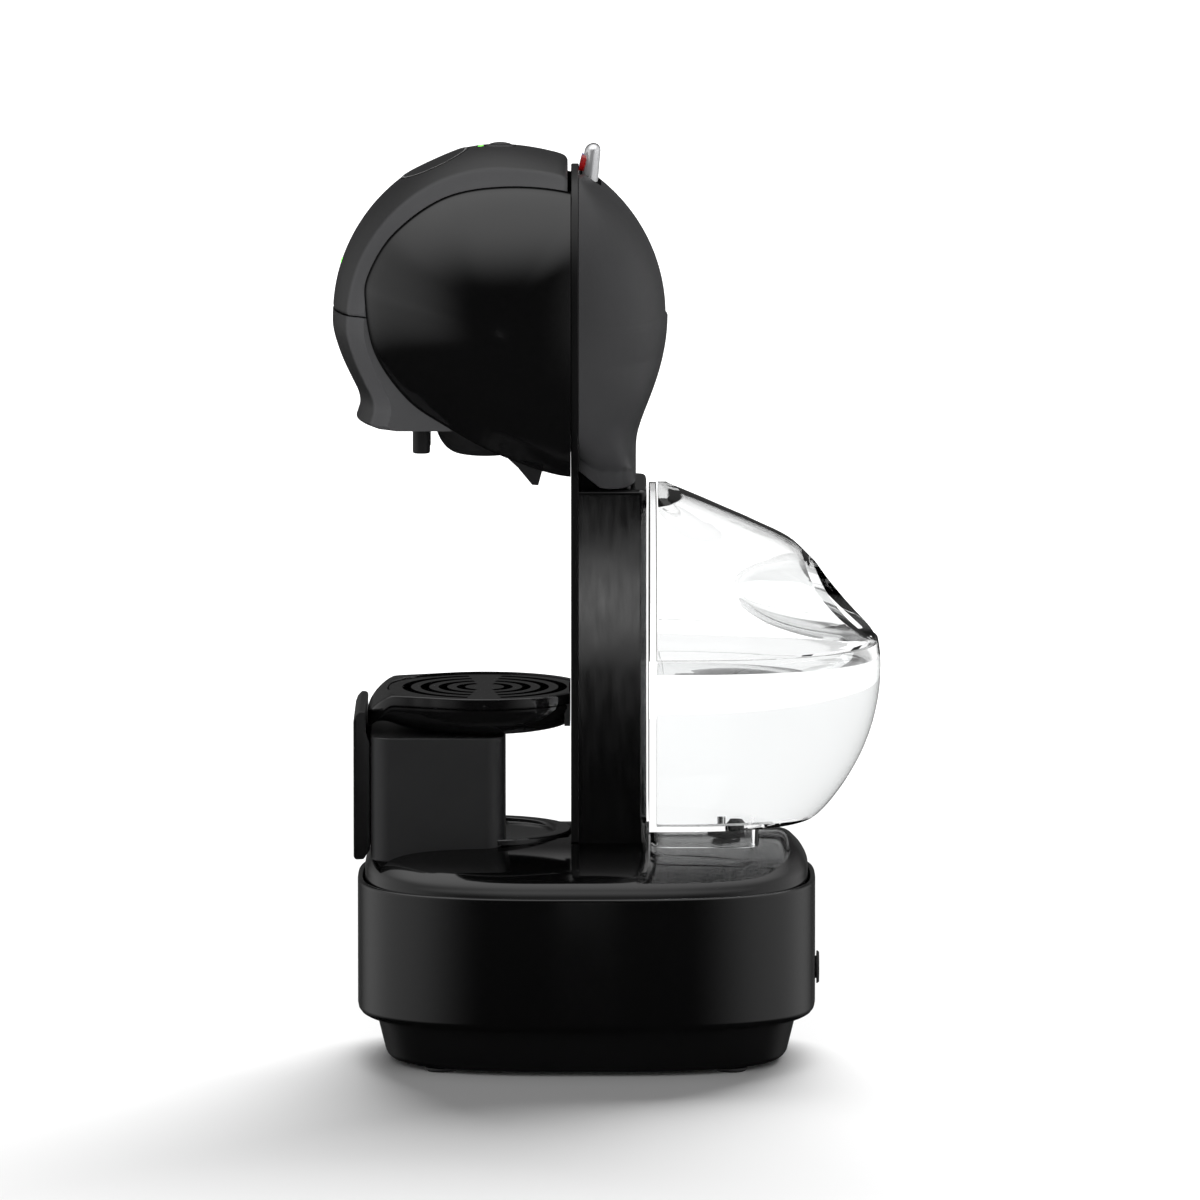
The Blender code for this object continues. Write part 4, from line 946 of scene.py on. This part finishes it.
def tankRing(z, back, front, width, count=64):
    ring = [(width, front, z)]
    for k in range(count + 1):
        angle = math.pi * k / count
        x = math.copysign(abs(math.cos(angle)) ** 0.8, math.cos(angle)) * width
        ring.append((x, front + 4 + math.sin(angle) ** 0.8 * (back - front - 4), z))
    return ring + [(-width, front, z)]


def makeTank():
    front, wall = tank["front"], tank["wall"]
    back = front + tank["flange"]
    bodyCurve = flowing(tankBack, 3)
    body = newPiece("tankBody", loft([tankRing(z, y, front, tankWidth(z)) for z, y in bodyCurve]),
                    finishes["clear_plastic"], 40)
    levels = [mix(110, 247, (k / 40) ** 0.8) for k in range(41)]
    arch = [(tankWidth(z), z) for z in levels]
    outline = arch + [(20, 249.7), (10, 249.8), (-10, 249.8), (-20, 249.7)]
    outline += [(-x, z) for x, z in reversed(arch)]
    flange = softEdges(prism(outline, front, back, "Y"), 0.6, 60)
    skirt = softEdges(prism(rounded(-46, 46, front + 0.6, 66, 8), 97.5, 108), 0.6, 70)
    carve(body, [flange, skirt], "UNION", 40)
    inner = [tankRing(z, y - wall, back, tankWidth(z) - wall) for z, y in bodyCurve if z > 107.9]
    inner.append(tankRing(190, 115.4, back, tankWidth(183) - wall))
    under = prism(rounded(-43.4, 43.4, front + 3.2, 63.4, 6), 80, 105.3)
    bore = turned([(0, 90), (4.3, 90), (4.3, 112), (0, 112)], (0, 53, 0), steps=48)
    carve(body, [loft(inner), under, bore], sharp=40)
    standFor(body, "tank_body")

    waterCurve = [(z, y) for z, y in bodyCurve if 108.2 < z < tank["waterLine"]]
    skin = wall - 0.05
    water = loft([tankRing(z, y - skin, back - 0.05, tankWidth(z) - skin) for z, y in waterCurve])
    piece = newPiece("tankWater", softEdges(water, 0.5, 60), waterFinish, 40)
    carve(piece, [turned([(0, 100), (7.2, 100), (7.2, 114.6), (0, 114.6)], (0, 53, 0), steps=48)], sharp=40)
    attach(piece, "tank")
    piece.visible_shadow = False
    body.visible_shadow = False

    lidCurve = flowing(lidBack, 3)
    lid = newPiece("tankLid", loft([tankRing(z, y, back + 0.6, tankWidth(z)) for z, y in lidCurve]),
                   finishes["clear_plastic"], 40)
    hollow = [tankRing(180, 115.0, back - 8, tank["width"] - 2.4)]
    hollow += [tankRing(z - 2.4, y - 2.4, back - 8, tankWidth(z) - 2.3) for z, y in lidCurve[2:-3]]
    room = newPiece("lidRoom", loft(hollow), finishes["clear_plastic"], 40)
    carve(room, [fingerPocket(2.3)], sharp=40)
    carve(lid, [fingerPocket(0)], sharp=40)
    inside = bmesh.new()
    inside.from_mesh(room.data)
    bmesh.ops.scale(inside, vec=(1 / mm, 1 / mm, 1 / mm), verts=inside.verts)
    bpy.data.objects.remove(room)
    carve(lid, [inside], sharp=40)
    standFor(lid, "tank_lid")
    lid.visible_shadow = False
    print("tank, lid and water made")


def fingerPocket(grow):
    bm = bmesh.new()
    bmesh.ops.create_uvsphere(bm, u_segments=64, v_segments=32, radius=1)
    bmesh.ops.scale(bm, vec=[size + grow for size in tank["pocket"]], verts=bm.verts)
    tilt = Matrix.Rotation(math.radians(tank["pocketTilt"]), 4, "X")
    place = Matrix.Translation(tank["pocketPlace"]) @ tilt
    bmesh.ops.transform(bm, matrix=place, verts=bm.verts)
    return bm


# studio

studio = {"distance": 6.0, "elevation": 7.6, "frameWidth": 0.5240, "lookY": -0.0031, "lookZ": 0.2001,
          "floorGlow": 0.5, "window": 3.4, "overhead": 1.8, "sides": 0.8, "behind": 0.06, "fill": 0.06,
          "frontFill": 0.8, "backLight": 5.7, "softness": 52, "lightWay": (0.76, -0.11, -0.53)}


def makeFloor():
    bm = bmesh.new()
    bmesh.ops.create_grid(bm, x_segments=2, y_segments=2, size=9000)
    material, shader, start, place = newFinish("paleFloor", {"Roughness": 0.7, "Specular IOR Level": 0.0,
                                                             "Emission Strength": studio["floorGlow"]})
    away = start.node("ShaderNodeVectorMath", {"operation": "LENGTH"}, {0: place}, output=1)
    glow = start.node("ShaderNodeMapRange", {"interpolation_type": "SMOOTHSTEP"},
                      {"Value": away, "From Min": 0.35, "From Max": 1.4, "To Min": 0.0, "To Max": 1.0})
    plug(shader,
         colour=start.blend(start.noise(place, 3.0), (0.84, 0.84, 0.84, 1), (0.86, 0.86, 0.86, 1)),
         glow=start.blend(glow, (0, 0, 0, 1), (1, 1, 1, 1)))
    floor = newPiece("studioFloor", bm, material)
    floor.visible_glossy = False
    lit = bpy.data.collections.new("litFloor")
    lit.objects.link(floor)


# white behind; in polished surfaces light comes from above, behind and both sides, and none from in front
def makeSky():
    world = bpy.data.worlds.new("studioSky")
    world.use_nodes = True
    bpy.context.scene.world = world
    world.cycles.sampling_method = "NONE"
    sky = Wire(world.node_tree)
    sky.tree.nodes.clear()
    direction = sky.node("ShaderNodeTexCoord", output=0)
    along, across, up = (sky.node("ShaderNodeSeparateXYZ", None, {0: direction}, output=k) for k in range(3))

    def ease(value, low, high, top=1.0):
        return sky.node("ShaderNodeMapRange", {"interpolation_type": "SMOOTHSTEP"},
                        {"Value": value, "From Min": low, "From Max": high, "To Max": top})

    overhead = ease(up, 0.4, 1.0, studio["overhead"])
    sides = ease(sky.sum("ABSOLUTE", across), 0.3, 1.05, studio["sides"])
    behind = ease(along * -1.0, 0.05, 0.8, studio["behind"])
    above = ease(up, -0.5, -0.05)
    tall = ease(up, -0.1352, -0.1300) * ease(up * -1.0, 0.1258, 0.1275)
    window = tall * ease(sky.sum("ABSOLUTE", across), 0.03, 0.02)
    reflected = (sides + behind) * above + overhead + window * ease(along, 0.9, 0.98, studio["window"])
    frontal = ease(along, 0.0, 0.9, studio["frontFill"])

    def glowing(strength):
        return sky.node("ShaderNodeBackground", None, {"Color": (1, 1, 1, 1), "Strength": strength})

    mirror, plain, soft = glowing(reflected + 0.005), glowing(1.05), glowing(frontal + studio["fill"])
    diffuse = sky.node("ShaderNodeLightPath", output=2)
    glossy = sky.node("ShaderNodeLightPath", output=3)
    mixed = sky.node("ShaderNodeMixShader", None, {0: diffuse, 1: plain, 2: soft})
    through = sky.node("ShaderNodeLightPath", output=6)
    mixed = sky.node("ShaderNodeMixShader", None, {0: glossy * (1.0 - through), 1: mixed, 2: mirror})
    sky.node("ShaderNodeOutputWorld", None, {"Surface": mixed})


def makeStudio():
    scene = bpy.context.scene
    scene.view_settings.view_transform = "Standard"
    scene.view_settings.look = "None"
    makeFloor()
    makeSky()
    data = bpy.data.lights.new("backSoftbox", "SUN")
    data.energy = studio["backLight"]
    data.angle = math.radians(studio["softness"])
    lamp = bpy.data.objects.new("backSoftbox", data)
    lamp.rotation_euler = Vector(studio["lightWay"]).to_track_quat("-Z", "Y").to_euler()
    lamp.visible_glossy = False
    lamp.light_linking.receiver_collection = bpy.data.collections["litFloor"]
    scene.collection.objects.link(lamp)

    camera = bpy.data.cameras.new("studioCamera")
    camera.sensor_width = 36
    camera.lens = 36 * studio["distance"] / studio["frameWidth"]
    camera.clip_end = 50
    eye = bpy.data.objects.new("studioCamera", camera)
    rise = math.radians(studio["elevation"])
    target = Vector((0, studio["lookY"], studio["lookZ"]))
    eye.location = target + studio["distance"] * Vector((math.cos(rise), 0, math.sin(rise)))
    eye.rotation_euler = (target - eye.location).to_track_quat("-Z", "Y").to_euler()
    scene.collection.objects.link(eye)
    scene.camera = eye
    print("studio made")


makeStudio()
makeBase()
makeSpine()
makeRearShell()
makeSidePanels()
makeHoop()
makePodHolder()
makeLever()
makeCupRest()
makeTank()
